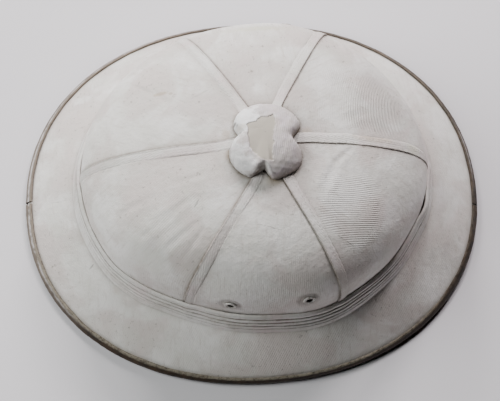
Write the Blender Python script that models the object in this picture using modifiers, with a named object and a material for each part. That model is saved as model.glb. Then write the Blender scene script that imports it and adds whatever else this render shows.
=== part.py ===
# Pith helmet: a hollow pith shell with a crown of six cloth panels, a cloth covered brim with a
# leather binding, a pleated band round the foot of the crown and a lobed ventilator cap on top.
# Metres, +Z up. The helmet rests on z = 0 on its binding, with its long axis on X.
import math

import bmesh
import bpy
import numpy as np
from mathutils import Matrix, Vector

# Overall outline over the binding. A power of 2 is an ellipse, and more is squarer.
HELMET_LENGTH = 0.345
HELMET_WIDTH = 0.291
BRIM_POWER = 2.15

# Crown, measured over its cloth
CROWN_LENGTH = 0.252
CROWN_WIDTH = 0.213
CROWN_POWER = 2.03
CROWN_TOP = 0.1236
BAND_TOP = 0.052
APEX_X = 0.0045
APEX_Y = -0.003
CROWN_PROFILE = {  # how full the dome is towards the ends and towards the sides
    "ends": {"rise": 1.7, "fall": 2.3},
    "sides": {"rise": 2.1, "fall": 3.4},
}
CROWN_DENTS = [  # at a plan angle, how far the outline swells or dips, as a share of CROWN_WIDTH
    {"angle": -25.0, "width": 11.0, "out": -0.008},
    {"angle": -70.0, "width": 14.0, "out": 0.014},
    {"angle": -120.0, "width": 15.0, "out": -0.012},
    {"angle": -150.0, "width": 9.0, "out": 0.006},
    {"angle": 74.0, "width": 26.0, "out": 0.016},
]

# Where the crown wall meets the brim
JOIN_HEIGHT = 0.037
WALL_FLARE = 0.001
BRIM_BULGE = 0.0015

# Walls and clearances
CLOTH = 0.0012
SHELL_WALL = 0.0035
BRIM_WALL = 0.0026
LEATHER = 0.0013
CLEARANCE = 0.0003
PANEL_HEM = 0.004  # the panels end this far above the brim, behind the band
COVER_HEM = 0.001  # the brim's cloth starts this far out from the crown, under the band

# Seams between the panels: a plan angle seen from the apex, and how far the seam runs beside that line
# near the cap, in metres
SEAMS = [
    {"angle": 0.2, "beside": 0.0009},
    {"angle": 62.3, "beside": 0.0036},
    {"angle": 119.4, "beside": -0.0004},
    {"angle": 179.3, "beside": 0.0032},
    {"angle": 238.3, "beside": 0.0105},
    {"angle": 298.3, "beside": -0.0012},
]
SEAM_MEET = 0.12  # the seams turn to the crown's middle inside this station, under the cap
SEAM_WIDTH = 0.0070
SEAM_RISE = 0.0006
PANEL_SPANS = 6
SEAM_SPANS = 2

# Pleated band
BAND_LIP = 0.0018
BAND_SPREAD = 0.0052
PLEATS = 5
PLEAT_RISE = 0.0009
PLEAT_FOLD = {"length": 0.8, "proud": 0.35}  # a pleat thins to this share before it steps to the next

# Binding
BINDING_LEG = 0.0022
BINDING_JOINT = 0.0010
RIGHT_JOINT = -5.3  # plan angles of the two butt joints, in degrees
LEFT_JOINT = 178.2
REST_HALF_ANGLE = math.radians(12)  # half the arc that is flattened where the binding rests
BINDING_FACETS = {"outer": 3, "inner": 4}  # facets of the fold's two arcs, the outer down to the edge

# Ventilator in the top of the crown
VENT_RADIUS = 0.0105
VENT_PLAY = 0.0012  # room round the collar in the shell's hole
VENT_WALL = 0.0013
VENT_FLANGE = 0.0140
VENT_FLANGE_THICK = 0.0010
VENT_TAIL = 0.0030  # how far the collar reaches below the shell
CAP_RADIUS = 0.0272
CAP_HEIGHT = 0.0131
CAP_WALL = 0.0018
CAP_ROUNDNESS = 2.6
CAP_SEAT = 0.0004
NECK_ENGAGE = 0.0060
CAP_NOTCHES = [
    {"angle": 8.0, "depth": 0.27, "width": 11.0, "furrow": 0.10},
    {"angle": 95.0, "depth": 0.08, "width": 14.0, "furrow": 0.03},
    {"angle": 172.0, "depth": 0.30, "width": 11.0, "furrow": 0.10},
    {"angle": 272.0, "depth": 0.26, "width": 12.0, "furrow": 0.12},
]
CAP_COLUMNS = 36
CAP_RINGS = 6
CAP_NECK_OVERLAP = 0.0009
CAP_FURROW_POWER = 5  # furrows fade out this steeply towards the cap's peak
VENT_STEPS = 24

# Ventilation eyelets
EYELET_SPACING = 0.054
EYELET_SHIFT = 0.003
EYELET_HEIGHT = 0.0737
EYELET_LEAN = 0.0037  # the eyelets on the left sit this much lower, and those on the right higher
EYELET_FLANGE = 0.0046
EYELET_BARREL = 0.0030
EYELET_BORE = 0.00225
EYELET_RIM = 0.0009
EYELET_TAIL = 0.0006
EYELET_ROLL = {  # the rolled rim's corners, as shares of its width and of EYELET_RIM
    "bore": {"in": 0.0, "up": 0.6},
    "inner": {"in": 0.3, "up": 1.0},
    "outer": {"in": 0.75, "up": 1.0},
    "edge": {"in": 1.0, "up": 0.4},
}
EYELET_STEPS = 12

SHARP_ANGLE = math.radians(35)
HALVINGS = 48  # of a span that is searched for a place on a curve
STEP = 1e-5  # each way from a place, to measure the slope there

# Stations along a line from the vent to the brim's edge: 0 to 1 is the crown from the vent to the
# band's top, 1 to 2 the wall behind the band, and 2 to 3 the brim.
CROWN_STATIONS = [0.0, 0.16, 0.31, 0.45, 0.58, 0.70, 0.81, 0.91, 1.0]
BRIM_STATIONS = [2.34, 2.67, 3.0]
EDGE_FACET = BRIM_STATIONS[-2] - 2  # where the brim's last facet starts, as a share of the brim

CLOTH_DEPTH = CLOTH + CLEARANCE
BRIM_STACK = CLOTH_DEPTH + BRIM_WALL
BINDING_INNER = BRIM_STACK / 2 + CLEARANCE
BINDING_OUTER = BINDING_INNER + LEATHER
EDGE_HEIGHT = BINDING_OUTER * math.cos(REST_HALF_ANGLE)
EYELET_HOLE = EYELET_BARREL + CLEARANCE
CUTTER_DEPTH = 6 * (CLOTH_DEPTH + SHELL_WALL)  # well through the sloping wall on both sides
HEM_STATION = 2 - PANEL_HEM / (BAND_TOP - JOIN_HEIGHT)
COVER_STATION = 2 + 2 * COVER_HEM / (HELMET_LENGTH - CROWN_LENGTH)

COLOURS = {
    "cloth": (0.74, 0.72, 0.69, 1),
    "seam": (0.76, 0.74, 0.70, 1),
    "band": (0.72, 0.70, 0.67, 1),
    "pith": (0.62, 0.55, 0.42, 1),
    "leather": (0.16, 0.12, 0.08, 1),
    "cap": (0.78, 0.76, 0.72, 1),
    "metal": (0.45, 0.43, 0.40, 1),
}
ROUGHNESS = {"leather": 0.5, "metal": 0.4}


def clear_scene():
    for obj in list(bpy.data.objects):
        bpy.data.objects.remove(obj, do_unlink=True)


def new_collection(name):
    collection = bpy.data.collections.new(name)
    bpy.context.scene.collection.children.link(collection)
    return collection


def material(name, finish):
    made = bpy.data.materials.new(name)
    made.use_nodes = True
    shader = made.node_tree.nodes["Principled BSDF"]
    shader.inputs["Base Color"].default_value = COLOURS[finish]
    shader.inputs["Roughness"].default_value = ROUGHNESS.get(finish, 0.9)
    shader.inputs["Metallic"].default_value = 1.0 if finish == "metal" else 0.0
    made.diffuse_color = COLOURS[finish]
    return made


def move_to(obj, collection):
    for held_in in list(obj.users_collection):
        held_in.objects.unlink(obj)
    collection.objects.link(obj)


def finished(obj, finish):
    """Gives an object its material and smooth shading and puts it with the helmet's pieces."""
    obj.data.materials.clear()
    obj.data.materials.append(material(obj.name, finish))
    obj.data.shade_smooth()
    obj.data.set_sharp_from_angle(angle=SHARP_ANGLE)
    move_to(obj, HELMET)
    return obj


def as_cutter(obj):
    move_to(obj, CUTTERS)
    obj.hide_render = True
    obj.display_type = "WIRE"
    return obj


def reach(angle, half_length, half_width, power):
    """Distance in plan from the apex to an outline round the origin, along each angle."""
    near, far = np.zeros_like(angle), np.full_like(angle, 2 * half_length)
    for _ in range(HALVINGS):
        middle = (near + far) / 2
        x = np.abs((APEX_X + middle * np.cos(angle)) / half_length)
        y = np.abs((APEX_Y + middle * np.sin(angle)) / half_width)
        inside = x**power + y**power < 1
        near, far = np.where(inside, middle, near), np.where(inside, far, middle)
    return (near + far) / 2


def bumps(angle, rows, key):
    """Sum of a table's bumps at each plan angle, from one column of the table."""
    total = 0 * angle
    for row in rows:
        away = (np.degrees(angle) - row["angle"] + 180) % 360 - 180
        total = total + row[key] * np.exp(-((away / row["width"]) ** 2))
    return total


def crown_reach(angle):
    dents = CROWN_WIDTH * bumps(angle, CROWN_DENTS, "out")
    return reach(angle, CROWN_LENGTH / 2, CROWN_WIDTH / 2, CROWN_POWER) + dents


def edge_reach(angle):
    """Distance to the centre line of the brim's edge, which the binding wraps."""
    return reach(angle, HELMET_LENGTH / 2 - BINDING_OUTER, HELMET_WIDTH / 2 - BINDING_OUTER, BRIM_POWER)


def crown_height(angle, radius):
    """Height of the crown's cloth over a plan place given from the apex."""
    x = 2 * (APEX_X + radius * np.cos(angle)) / CROWN_LENGTH
    y = 2 * (APEX_Y + radius * np.sin(angle)) / CROWN_WIDTH
    side = y**2 / np.maximum(x**2 + y**2, 1e-9)
    ends, sides = CROWN_PROFILE["ends"], CROWN_PROFILE["sides"]
    rise = ends["rise"] + (sides["rise"] - ends["rise"]) * side
    fall = ends["fall"] + (sides["fall"] - ends["fall"]) * side
    share = np.clip(radius / crown_reach(angle), 0, 1)
    return BAND_TOP + (CROWN_TOP - BAND_TOP) * (1 - share**rise) ** (1 / fall)


def height_at(x, y):
    """Height of the crown's cloth over a plan place given from the origin."""
    angle = np.array([math.atan2(y - APEX_Y, x - APEX_X)])
    return crown_height(angle, np.array([math.hypot(x - APEX_X, y - APEX_Y)]))[0]


def brim_line(angle):
    """Start and end of the brim's top face as (radius, height), and its slope at the edge."""
    start = crown_reach(angle) + WALL_FLARE
    run, drop = edge_reach(angle) - start, JOIN_HEIGHT - EDGE_HEIGHT
    slope = np.arctan2(drop, run) + np.arctan(4 * BRIM_BULGE * EDGE_FACET / np.hypot(run, drop))
    end = edge_reach(angle) + BRIM_STACK / 2 * np.sin(slope)
    return start, end, EDGE_HEIGHT + BRIM_STACK / 2 * np.cos(slope), slope


def brim_place(angle, share):
    """(radius, height) on the brim's top face at a share of the way out."""
    start, end, end_height, _ = brim_line(angle)
    bulge = 4 * BRIM_BULGE * share * (1 - share)
    run, drop = end - start, JOIN_HEIGHT - end_height
    length = np.hypot(run, drop)
    radius = start + run * share + bulge * drop / length
    return radius, JOIN_HEIGHT - drop * share + bulge * run / length


def body_place(angle, station):
    """(radius, height) on the cloth's outer face at one station."""
    if station <= 1:
        radius = VENT_RADIUS + (crown_reach(angle) - VENT_RADIUS) * math.sin(station * math.pi / 2)
        return radius, crown_height(angle, radius)
    if station < 2:
        down = station - 1
        return crown_reach(angle) + WALL_FLARE * down, BAND_TOP + (JOIN_HEIGHT - BAND_TOP) * down + 0 * angle
    return brim_place(angle, station - 2)


def seam_angle(seam, station):
    straight = math.radians(seam["angle"])
    if station >= 1:
        return straight
    radius, _ = body_place(np.array([straight]), station)
    beside = seam["beside"] * (1 - station) * min(station / SEAM_MEET, 1)
    return straight + math.asin(beside / radius[0])


def half_angle(seam, station, half_width):
    """Plan angle that half a strip's width takes up at one station of a seam."""
    radius, _ = body_place(np.array([seam_angle(seam, station)]), station)
    return math.asin(half_width / radius[0])


def panel_angles(number, station):
    """Plan angles of a panel's columns, from one seam strip to the next."""
    first, second = SEAMS[number], SEAMS[(number + 1) % len(SEAMS)]
    half_width = SEAM_WIDTH / 2 + CLEARANCE
    start = seam_angle(first, station) + half_angle(first, station, half_width)
    end = seam_angle(second, station) - half_angle(second, station, half_width)
    return np.linspace(start, end + (end < start) * 2 * math.pi, PANEL_SPANS + 1)


def round_angles(station):
    """Plan angles of all the columns round the helmet, with one on each seam."""
    parts = []
    for number, seam in enumerate(SEAMS):
        start = seam_angle(seam, station)
        if station > HEM_STATION:
            end = seam_angle(SEAMS[(number + 1) % len(SEAMS)], station)
            columns = PANEL_SPANS + 2  # as many as on the seam and on the panel above
            parts.append(np.linspace(start, end + (end < start) * 2 * math.pi, columns, endpoint=False))
        else:
            parts += [[start], panel_angles(number, station)]
    return np.concatenate(parts)


def place(angle, radius, height):
    x, y = APEX_X + radius * np.cos(angle), APEX_Y + radius * np.sin(angle)
    return np.stack([x, y, height + 0 * angle], -1)


def layer(angles, stations, depth):
    """Points of the cloth's outer face moved inwards by a depth, as an array (station, column, xyz)."""
    radius, height = np.array([body_place(angle, at) for angle, at in zip(angles, stations)]).swapaxes(0, 1)
    step = np.stack([np.diff(radius, axis=0), np.diff(height, axis=0)], -1)
    step /= np.linalg.norm(step, axis=-1, keepdims=True)
    before, after = np.concatenate([step[:1], step]), np.concatenate([step, step[-1:]])
    along = before + after
    along /= np.linalg.norm(along, axis=-1, keepdims=True)
    mitre = depth / np.maximum((along * after).sum(-1), 0.5)
    return place(np.array(angles), radius + along[..., 1] * mitre, height - along[..., 0] * mitre)


def grid_object(name, points, closed=False, tube=False):
    """A sheet of quads over a grid of points. Closed joins its last column to the first, tube its rows."""
    rows, columns = points.shape[:2]
    mesh = bpy.data.meshes.new(name)
    faces = []
    for row in range(rows if tube else rows - 1):
        for column in range(columns if closed else columns - 1):
            next_row, next_column = (row + 1) % rows, (column + 1) % columns
            corners = [(row, column), (next_row, column), (next_row, next_column), (row, next_column)]
            faces.append([r * columns + c for r, c in corners])
    mesh.from_pydata(points.reshape(-1, 3).tolist(), [], faces)
    mesh.update()
    obj = bpy.data.objects.new(name, mesh)
    bpy.context.scene.collection.objects.link(obj)
    return obj


def thicken(obj, thickness, group=None, least=1.0):
    solid = obj.modifiers.new("wall", "SOLIDIFY")
    solid.thickness = thickness
    solid.offset = -1
    solid.use_even_offset = True
    if group:
        solid.vertex_group = group
        solid.thickness_vertex_group = least
    return obj


def cap_ends(obj):
    """Closes the two open ends of a bar with a face each."""
    work = bmesh.new()
    work.from_mesh(obj.data)
    bmesh.ops.holes_fill(work, edges=[edge for edge in work.edges if edge.is_boundary], sides=0)
    bmesh.ops.recalc_face_normals(work, faces=work.faces)
    work.to_mesh(obj.data)
    work.free()


def turned(name, profile, steps):
    """A closed outline of (radius, height) pairs turned round Z."""
    mesh = bpy.data.meshes.new(name)
    count = len(profile)
    points = [(radius, 0, height) for radius, height in profile]
    mesh.from_pydata(points, [(i, (i + 1) % count) for i in range(count)], [])
    obj = bpy.data.objects.new(name, mesh)
    bpy.context.scene.collection.objects.link(obj)
    screw = obj.modifiers.new("turn", "SCREW")
    screw.angle = 2 * math.pi
    screw.steps = screw.render_steps = steps
    screw.use_merge_vertices = True
    screw.merge_threshold = 1e-5
    return obj


def as_mesh(obj):
    """The object with its modifiers applied and its faces turned outwards."""
    graph = bpy.context.evaluated_depsgraph_get()
    mesh = bpy.data.meshes.new_from_object(obj.evaluated_get(graph))
    work = bmesh.new()
    work.from_mesh(mesh)
    bmesh.ops.recalc_face_normals(work, faces=work.faces)
    work.to_mesh(mesh)
    work.free()
    obj.modifiers.clear()
    obj.data = mesh
    return obj


def cut(obj, cutter):
    hole = obj.modifiers.new("hole " + cutter.name, "BOOLEAN")
    hole.operation = "DIFFERENCE"
    hole.object = cutter


def full_rows(stations):
    return [round_angles(station) for station in stations]


def eyelet_frames():
    """Place and outward direction of each eyelet, on the near side and then the far side."""
    frames = []
    for side in (-1, 1):
        for end in (-1, 1):
            x, height = EYELET_SHIFT + end * EYELET_SPACING / 2, EYELET_HEIGHT + end * EYELET_LEAN
            low, high = 0.0, CROWN_WIDTH / 2
            for _ in range(HALVINGS):
                y = side * (low + high) / 2
                inside = height_at(x, y) > height
                low, high = (abs(y), high) if inside else (low, abs(y))
            slope_x = (height_at(x + STEP, y) - height_at(x - STEP, y)) / (2 * STEP)
            slope_y = (height_at(x, y + STEP) - height_at(x, y - STEP)) / (2 * STEP)
            frames.append((Vector((x, y, height)), Vector((-slope_x, -slope_y, 1)).normalized()))
    return frames


def aim(obj, origin, direction):
    obj.matrix_world = Matrix.Translation(origin) @ direction.to_track_quat("Z", "Y").to_matrix().to_4x4()


def make_eyelet_cutters():
    cutters = []
    for number, (origin, direction) in enumerate(eyelet_frames(), 1):
        bpy.ops.mesh.primitive_cylinder_add(vertices=EYELET_STEPS, radius=EYELET_HOLE, depth=CUTTER_DEPTH)
        cutter = bpy.context.object
        cutter.name = f"eyelet_cutter_{number}"
        aim(cutter, origin, direction)
        cutters.append(as_cutter(cutter))
    return cutters


def make_shell(cutters):
    stations = CROWN_STATIONS + [HEM_STATION, 2.0] + BRIM_STATIONS
    points = layer(full_rows(stations), stations, CLOTH_DEPTH)
    shell = grid_object("pith_shell", points, closed=True)
    group = shell.vertex_groups.new(name="wall")
    for row, station in enumerate(stations):
        thinning = min(max(station - 2, 0), 1)
        columns = points.shape[1]
        share = 1 - thinning * (1 - BRIM_WALL / SHELL_WALL)
        group.add(range(row * columns, (row + 1) * columns), share, "REPLACE")
    thicken(shell, SHELL_WALL, "wall", 0.0)
    for cutter in cutters:
        cut(shell, cutter)
    return finished(shell, "pith")


def make_panels(cutters):
    stations = CROWN_STATIONS + [HEM_STATION]
    for number in range(len(SEAMS)):
        angles = [panel_angles(number, station) for station in stations]
        panel = grid_object(f"crown_panel_{number + 1}", layer(angles, stations, 0))
        thicken(panel, CLOTH)
        middle = angles[-1].mean() % (2 * math.pi)
        for cutter in cutters:
            around = math.atan2(cutter.location.y - APEX_Y, cutter.location.x - APEX_X)
            away = abs((around - middle + math.pi) % (2 * math.pi) - math.pi)
            if away < (angles[-1][-1] - angles[-1][0]) / 2:
                cut(panel, cutter)
        finished(panel, "cloth")


def make_seam_strips():
    stations = CROWN_STATIONS + [HEM_STATION]
    for number, seam in enumerate(SEAMS, 1):
        angles = []
        for station in stations:
            half = half_angle(seam, station, SEAM_WIDTH / 2)
            angles.append(seam_angle(seam, station) + np.linspace(-half, half, SEAM_SPANS + 1))
        strip = grid_object(f"seam_strip_{number}", layer(angles, stations, -SEAM_RISE))
        thicken(strip, CLOTH + SEAM_RISE)
        finished(strip, "seam")


def make_brim_cover():
    stations = [COVER_STATION] + BRIM_STATIONS
    cover = grid_object("brim_cover", layer(full_rows(stations), stations, 0), closed=True)
    thicken(cover, CLOTH)
    return finished(cover, "cloth")


def make_band():
    """The wound band: a wedge between the crown wall and the brim, with its outer face in pleats."""
    angle = round_angles(1.0)
    inner = crown_reach(angle) + SEAM_RISE + CLEARANCE
    top = np.stack([inner + BAND_LIP, BAND_TOP + 0 * angle])
    start, end, _, slope = brim_line(angle)
    share = (WALL_FLARE + BAND_SPREAD) / (end - start)
    foot = np.array(brim_place(angle, share)) + CLEARANCE * np.stack([np.sin(slope), np.cos(slope)])
    down = (foot - top) / np.linalg.norm(foot - top, axis=0)
    out = np.stack([-down[1], down[0]])
    section = [np.stack([inner, BAND_TOP + 0 * angle])]
    for pleat in range(PLEATS):
        for at, proud in ((pleat, 1), (pleat + PLEAT_FOLD["length"], PLEAT_FOLD["proud"])):
            section.append(top + (foot - top) * at / PLEATS + out * PLEAT_RISE * proud)
    corner = np.stack([start + SEAM_RISE + CLEARANCE, JOIN_HEIGHT + 2 * CLEARANCE + 0 * angle])
    section += [foot, corner]
    points = np.array([place(angle, radius, height) for radius, height in section])
    return finished(grid_object("pugaree_band", points, closed=True, tube=True), "band")


def binding_section(slope):
    """Offsets (outwards, up) from the edge's centre line of the binding's closed outline."""
    flat = np.stack([np.cos(slope), -np.sin(slope)])
    normal = np.stack([np.sin(slope), np.cos(slope)])
    quarter = math.pi / 2
    outer = list(np.linspace(quarter - slope, -slope, BINDING_FACETS["outer"] + 1))
    outer += [REST_HALF_ANGLE - quarter + 0 * slope, -REST_HALF_ANGLE - quarter + 0 * slope, -quarter - slope]
    inner = list(np.linspace(-quarter - slope, quarter - slope, BINDING_FACETS["inner"] + 1))
    points = [-BINDING_LEG * flat + BINDING_OUTER * normal]
    points += [BINDING_OUTER * np.stack([np.cos(a), np.sin(a)]) for a in outer]
    points += [-BINDING_LEG * flat - BINDING_OUTER * normal, -BINDING_LEG * flat - BINDING_INNER * normal]
    points += [BINDING_INNER * np.stack([np.cos(a), np.sin(a)]) for a in inner]
    return points + [-BINDING_LEG * flat + BINDING_INNER * normal]


def make_binding(name, first, last):
    """A folded strip of leather round the brim's edge, from one butt joint to the next."""
    angle = round_angles(3.0)
    angle = np.concatenate([angle - 2 * math.pi, angle])
    slope = brim_line(angle)[3]
    ring = np.array([
        place(angle, edge_reach(angle) + out, EDGE_HEIGHT + up) for out, up in binding_section(slope)
    ])
    half_gap = BINDING_JOINT / 2 / edge_reach(np.array([first]))[0]
    first, last = first + half_gap, last - half_gap
    columns = [section_at(ring, angle, first)]
    columns += [ring[:, i] for i in np.flatnonzero((angle > first) & (angle < last))]
    columns.append(section_at(ring, angle, last))
    binding = grid_object(name, np.stack(columns, 1), tube=True)
    cap_ends(binding)
    return finished(binding, "leather")


def section_at(ring, angle, at):
    """The section at a plan angle, on the facet between the two columns next to it."""
    after = np.searchsorted(angle, at)
    share = (at - angle[after - 1]) / (angle[after] - angle[after - 1])
    return ring[:, after - 1] * (1 - share) + ring[:, after] * share


def make_cap():
    """The lobed ventilator cap with the neck that it is held by."""
    angle = np.linspace(0, 2 * math.pi, CAP_COLUMNS, endpoint=False)
    rim = CAP_RADIUS * (1 - bumps(angle, CAP_NOTCHES, "depth"))
    seat = SEAM_RISE + CAP_SEAT
    rows = []
    for ring in range(1, CAP_RINGS + 1):
        share = math.sin(ring / CAP_RINGS * math.pi / 2) ** (2 / CAP_ROUNDNESS)
        radius = rim * share
        furrow = bumps(angle, CAP_NOTCHES, "furrow") * share**CAP_FURROW_POWER
        dome = CAP_HEIGHT * math.sqrt(max(1 - share**CAP_ROUNDNESS, 0)) * (1 - furrow)
        rows.append(place(angle, radius, crown_height(angle, radius) + seat + dome))
    cap = grid_object("vent_cap", np.array(rows), closed=True)
    work = bmesh.new()
    work.from_mesh(cap.data)
    work.verts.ensure_lookup_table()
    first_ring = work.verts[:CAP_COLUMNS]
    peak = work.verts.new((APEX_X, APEX_Y, CROWN_TOP + seat + CAP_HEIGHT))
    for corner, following in zip(first_ring, first_ring[1:] + first_ring[:1]):
        work.faces.new((corner, following, peak))
    bmesh.ops.recalc_face_normals(work, faces=work.faces)
    work.to_mesh(cap.data)
    work.free()
    thicken(cap, CAP_WALL)
    as_mesh(cap)
    outer = VENT_RADIUS - VENT_PLAY - VENT_WALL - CLEARANCE
    top = CROWN_TOP + seat + CAP_HEIGHT - CAP_WALL + CAP_NECK_OVERLAP
    bottom = CROWN_TOP - NECK_ENGAGE
    inner = outer - VENT_WALL
    neck = turned("neck", [(outer, top), (outer, bottom), (inner, bottom), (inner, top)], VENT_STEPS)
    neck.location = (APEX_X, APEX_Y, 0)
    as_cutter(as_mesh(neck))
    join = cap.modifiers.new("neck", "BOOLEAN")
    join.operation = "UNION"
    join.object = neck
    return finished(cap, "cap")


def make_collar():
    """The tube through the top of the crown that takes the cap's neck, with its flange on the cloth."""
    outer = VENT_RADIUS - VENT_PLAY
    inner = outer - VENT_WALL
    under = CROWN_TOP + SEAM_RISE + CLEARANCE
    top = under + VENT_FLANGE_THICK
    bottom = CROWN_TOP - CLOTH_DEPTH - SHELL_WALL - VENT_TAIL
    profile = [(inner, top), (VENT_FLANGE, top), (VENT_FLANGE, under)]
    profile += [(outer, under), (outer, bottom), (inner, bottom)]
    collar = turned("vent_collar", profile, VENT_STEPS)
    collar.location = (APEX_X, APEX_Y, 0)
    as_mesh(collar)
    return finished(collar, "metal")


def make_eyelets():
    tail = -(CLOTH_DEPTH + SHELL_WALL + EYELET_TAIL)
    rim_width = EYELET_FLANGE - EYELET_BORE
    profile = [
        (EYELET_BORE + rim_width * corner["in"], CLEARANCE + EYELET_RIM * corner["up"])
        for corner in EYELET_ROLL.values()
    ]
    profile += [(EYELET_FLANGE, CLEARANCE), (EYELET_BARREL, CLEARANCE)]
    profile += [(EYELET_BARREL, tail), (EYELET_BORE, tail)]
    for number, (origin, direction) in enumerate(eyelet_frames(), 1):
        eyelet = turned(f"eyelet_{number}", profile, EYELET_STEPS)
        as_mesh(eyelet)
        aim(eyelet, origin, direction)
        finished(eyelet, "metal")


clear_scene()
HELMET = new_collection("pith_helmet")
CUTTERS = new_collection("cutters")
EYELET_CUTTERS = make_eyelet_cutters()
make_shell(EYELET_CUTTERS)
make_panels(EYELET_CUTTERS)
make_seam_strips()
make_brim_cover()
make_band()
make_binding("brim_binding_far", math.radians(RIGHT_JOINT), math.radians(LEFT_JOINT))
make_binding("brim_binding_near", math.radians(LEFT_JOINT - 360), math.radians(RIGHT_JOINT))
make_cap()
make_collar()
make_eyelets()
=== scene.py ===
import math

import bmesh
import bpy
import numpy as np
from mathutils import Matrix, Vector


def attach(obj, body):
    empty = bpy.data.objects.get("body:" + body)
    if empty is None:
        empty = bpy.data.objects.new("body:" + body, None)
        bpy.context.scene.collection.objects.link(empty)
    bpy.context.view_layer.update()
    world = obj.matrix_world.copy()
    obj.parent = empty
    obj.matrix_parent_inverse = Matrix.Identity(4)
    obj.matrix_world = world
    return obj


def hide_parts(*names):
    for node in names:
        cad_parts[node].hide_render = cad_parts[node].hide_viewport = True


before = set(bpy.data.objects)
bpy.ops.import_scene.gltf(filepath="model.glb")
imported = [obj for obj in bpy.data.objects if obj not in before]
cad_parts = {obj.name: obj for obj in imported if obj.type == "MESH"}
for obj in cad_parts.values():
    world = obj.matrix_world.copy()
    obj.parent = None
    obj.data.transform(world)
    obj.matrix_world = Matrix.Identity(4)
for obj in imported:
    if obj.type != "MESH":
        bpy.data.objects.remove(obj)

print("Pith helmet: the packed model is loaded")
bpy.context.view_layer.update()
mm = 0.001

# Metres and degrees. Plan angles are seen from the apex of the crown, counterclockwise from +X.
helmet = {
    "length": 0.345,
    "width": 0.291,
    "brimPower": 2.15,
    "apexX": 0.0045,
    "apexY": -0.003,
    "cloth": 0.0012,
    "pith": 0.0035,
    "brimPith": 0.0026,
    "leather": 0.0013,
    "clearance": 0.0003,
    "restHalfAngle": 12,
}
crown = {
    "length": 0.252,
    "width": 0.213,
    "power": 2.03,
    "top": 0.1236,
    "bandTop": 0.052,
    "joinHeight": 0.037,
    "wallFlare": 0.001,
    "hem": 0.004,
    "ventRadius": 0.0105,
    "ends": {"rise": 1.7, "fall": 2.3},
    "sides": {"rise": 2.1, "fall": 3.4},
    "dents": [
        {"angle": -25.0, "width": 11.0, "out": -0.008},
        {"angle": -70.0, "width": 14.0, "out": 0.014},
        {"angle": -120.0, "width": 15.0, "out": -0.012},
        {"angle": -150.0, "width": 9.0, "out": 0.006},
        {"angle": 74.0, "width": 26.0, "out": 0.016},
    ],
}
seams = {
    "width": 0.0070,
    "rise": 0.0006,
    "meet": 0.12,
    "rows": [
        {"angle": 0.2, "beside": 0.0009},
        {"angle": 62.3, "beside": 0.0036},
        {"angle": 119.4, "beside": -0.0004},
        {"angle": 179.3, "beside": 0.0032},
        {"angle": 238.3, "beside": 0.0105},
        {"angle": 298.3, "beside": -0.0012},
    ],
}
brim = {"bulge": 0.0015, "lastFacet": 0.67, "coverHem": 0.001}

clothDepth = helmet["cloth"] + helmet["clearance"]
brimStack = clothDepth + helmet["brimPith"]
bindingInner = brimStack / 2 + helmet["clearance"]
bindingOuter = bindingInner + helmet["leather"]
edgeHeight = bindingOuter * math.cos(math.radians(helmet["restHalfAngle"]))
hemStation = 2 - crown["hem"] / (crown["bandTop"] - crown["joinHeight"])


# Shape of the helmet, as functions of a plan angle

def awayFrom(angle, degrees):  # signed degrees from one plan angle
    return (np.degrees(angle) - degrees + 180) % 360 - 180


def hump(value, middle, width):  # 1 at the middle, and falls softly to 0 on both sides
    return np.exp(-(((value - middle) / width) ** 2))


def fade(distance, reach):  # 1 at 0 and below, and falls off with distance
    return np.exp(-np.maximum(distance, 0) / reach)


def fullTurn(count):
    return np.linspace(0, 2 * math.pi, count, endpoint=False)


def bumps(angle, rows):
    return sum(row["out"] * hump(awayFrom(angle, row["angle"]), 0, row["width"]) for row in rows)


def outlineReach(angle, halfLength, halfWidth, power):
    near, far = np.zeros_like(angle), np.full_like(angle, 2 * halfLength)
    for _ in range(40):
        middle = (near + far) / 2
        x = np.abs((helmet["apexX"] + middle * np.cos(angle)) / halfLength)
        y = np.abs((helmet["apexY"] + middle * np.sin(angle)) / halfWidth)
        inside = x**power + y**power < 1
        near, far = np.where(inside, middle, near), np.where(inside, far, middle)
    return (near + far) / 2


def crownReach(angle):
    dents = crown["width"] * bumps(angle, crown["dents"])
    return outlineReach(angle, crown["length"] / 2, crown["width"] / 2, crown["power"]) + dents


def edgeReach(angle):
    length, width = helmet["length"] / 2 - bindingOuter, helmet["width"] / 2 - bindingOuter
    return outlineReach(angle, length, width, helmet["brimPower"])


def crownHeight(angle, radius, reach=None):
    x = 2 * (helmet["apexX"] + radius * np.cos(angle)) / crown["length"]
    y = 2 * (helmet["apexY"] + radius * np.sin(angle)) / crown["width"]
    side = y**2 / np.maximum(x**2 + y**2, 1e-9)
    rise = crown["ends"]["rise"] + (crown["sides"]["rise"] - crown["ends"]["rise"]) * side
    fall = crown["ends"]["fall"] + (crown["sides"]["fall"] - crown["ends"]["fall"]) * side
    share = np.clip(radius / (crownReach(angle) if reach is None else reach), 0, 1)
    return crown["bandTop"] + (crown["top"] - crown["bandTop"]) * (1 - share**rise) ** (1 / fall)


def brimLine(angle):
    start, edge = crownReach(angle) + crown["wallFlare"], edgeReach(angle)
    run, drop = edge - start, crown["joinHeight"] - edgeHeight
    slope = np.arctan2(drop, run) + np.arctan(4 * brim["bulge"] * brim["lastFacet"] / np.hypot(run, drop))
    return start, edge + brimStack / 2 * np.sin(slope), edgeHeight + brimStack / 2 * np.cos(slope), slope


def brimPlace(angle, share):
    start, end, endHeight, _ = brimLine(angle)
    bulge = 4 * brim["bulge"] * share * (1 - share)
    run, drop = end - start, crown["joinHeight"] - endHeight
    length = np.hypot(run, drop)
    radius = start + run * share + bulge * drop / length
    return radius, crown["joinHeight"] - drop * share + bulge * run / length


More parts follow.
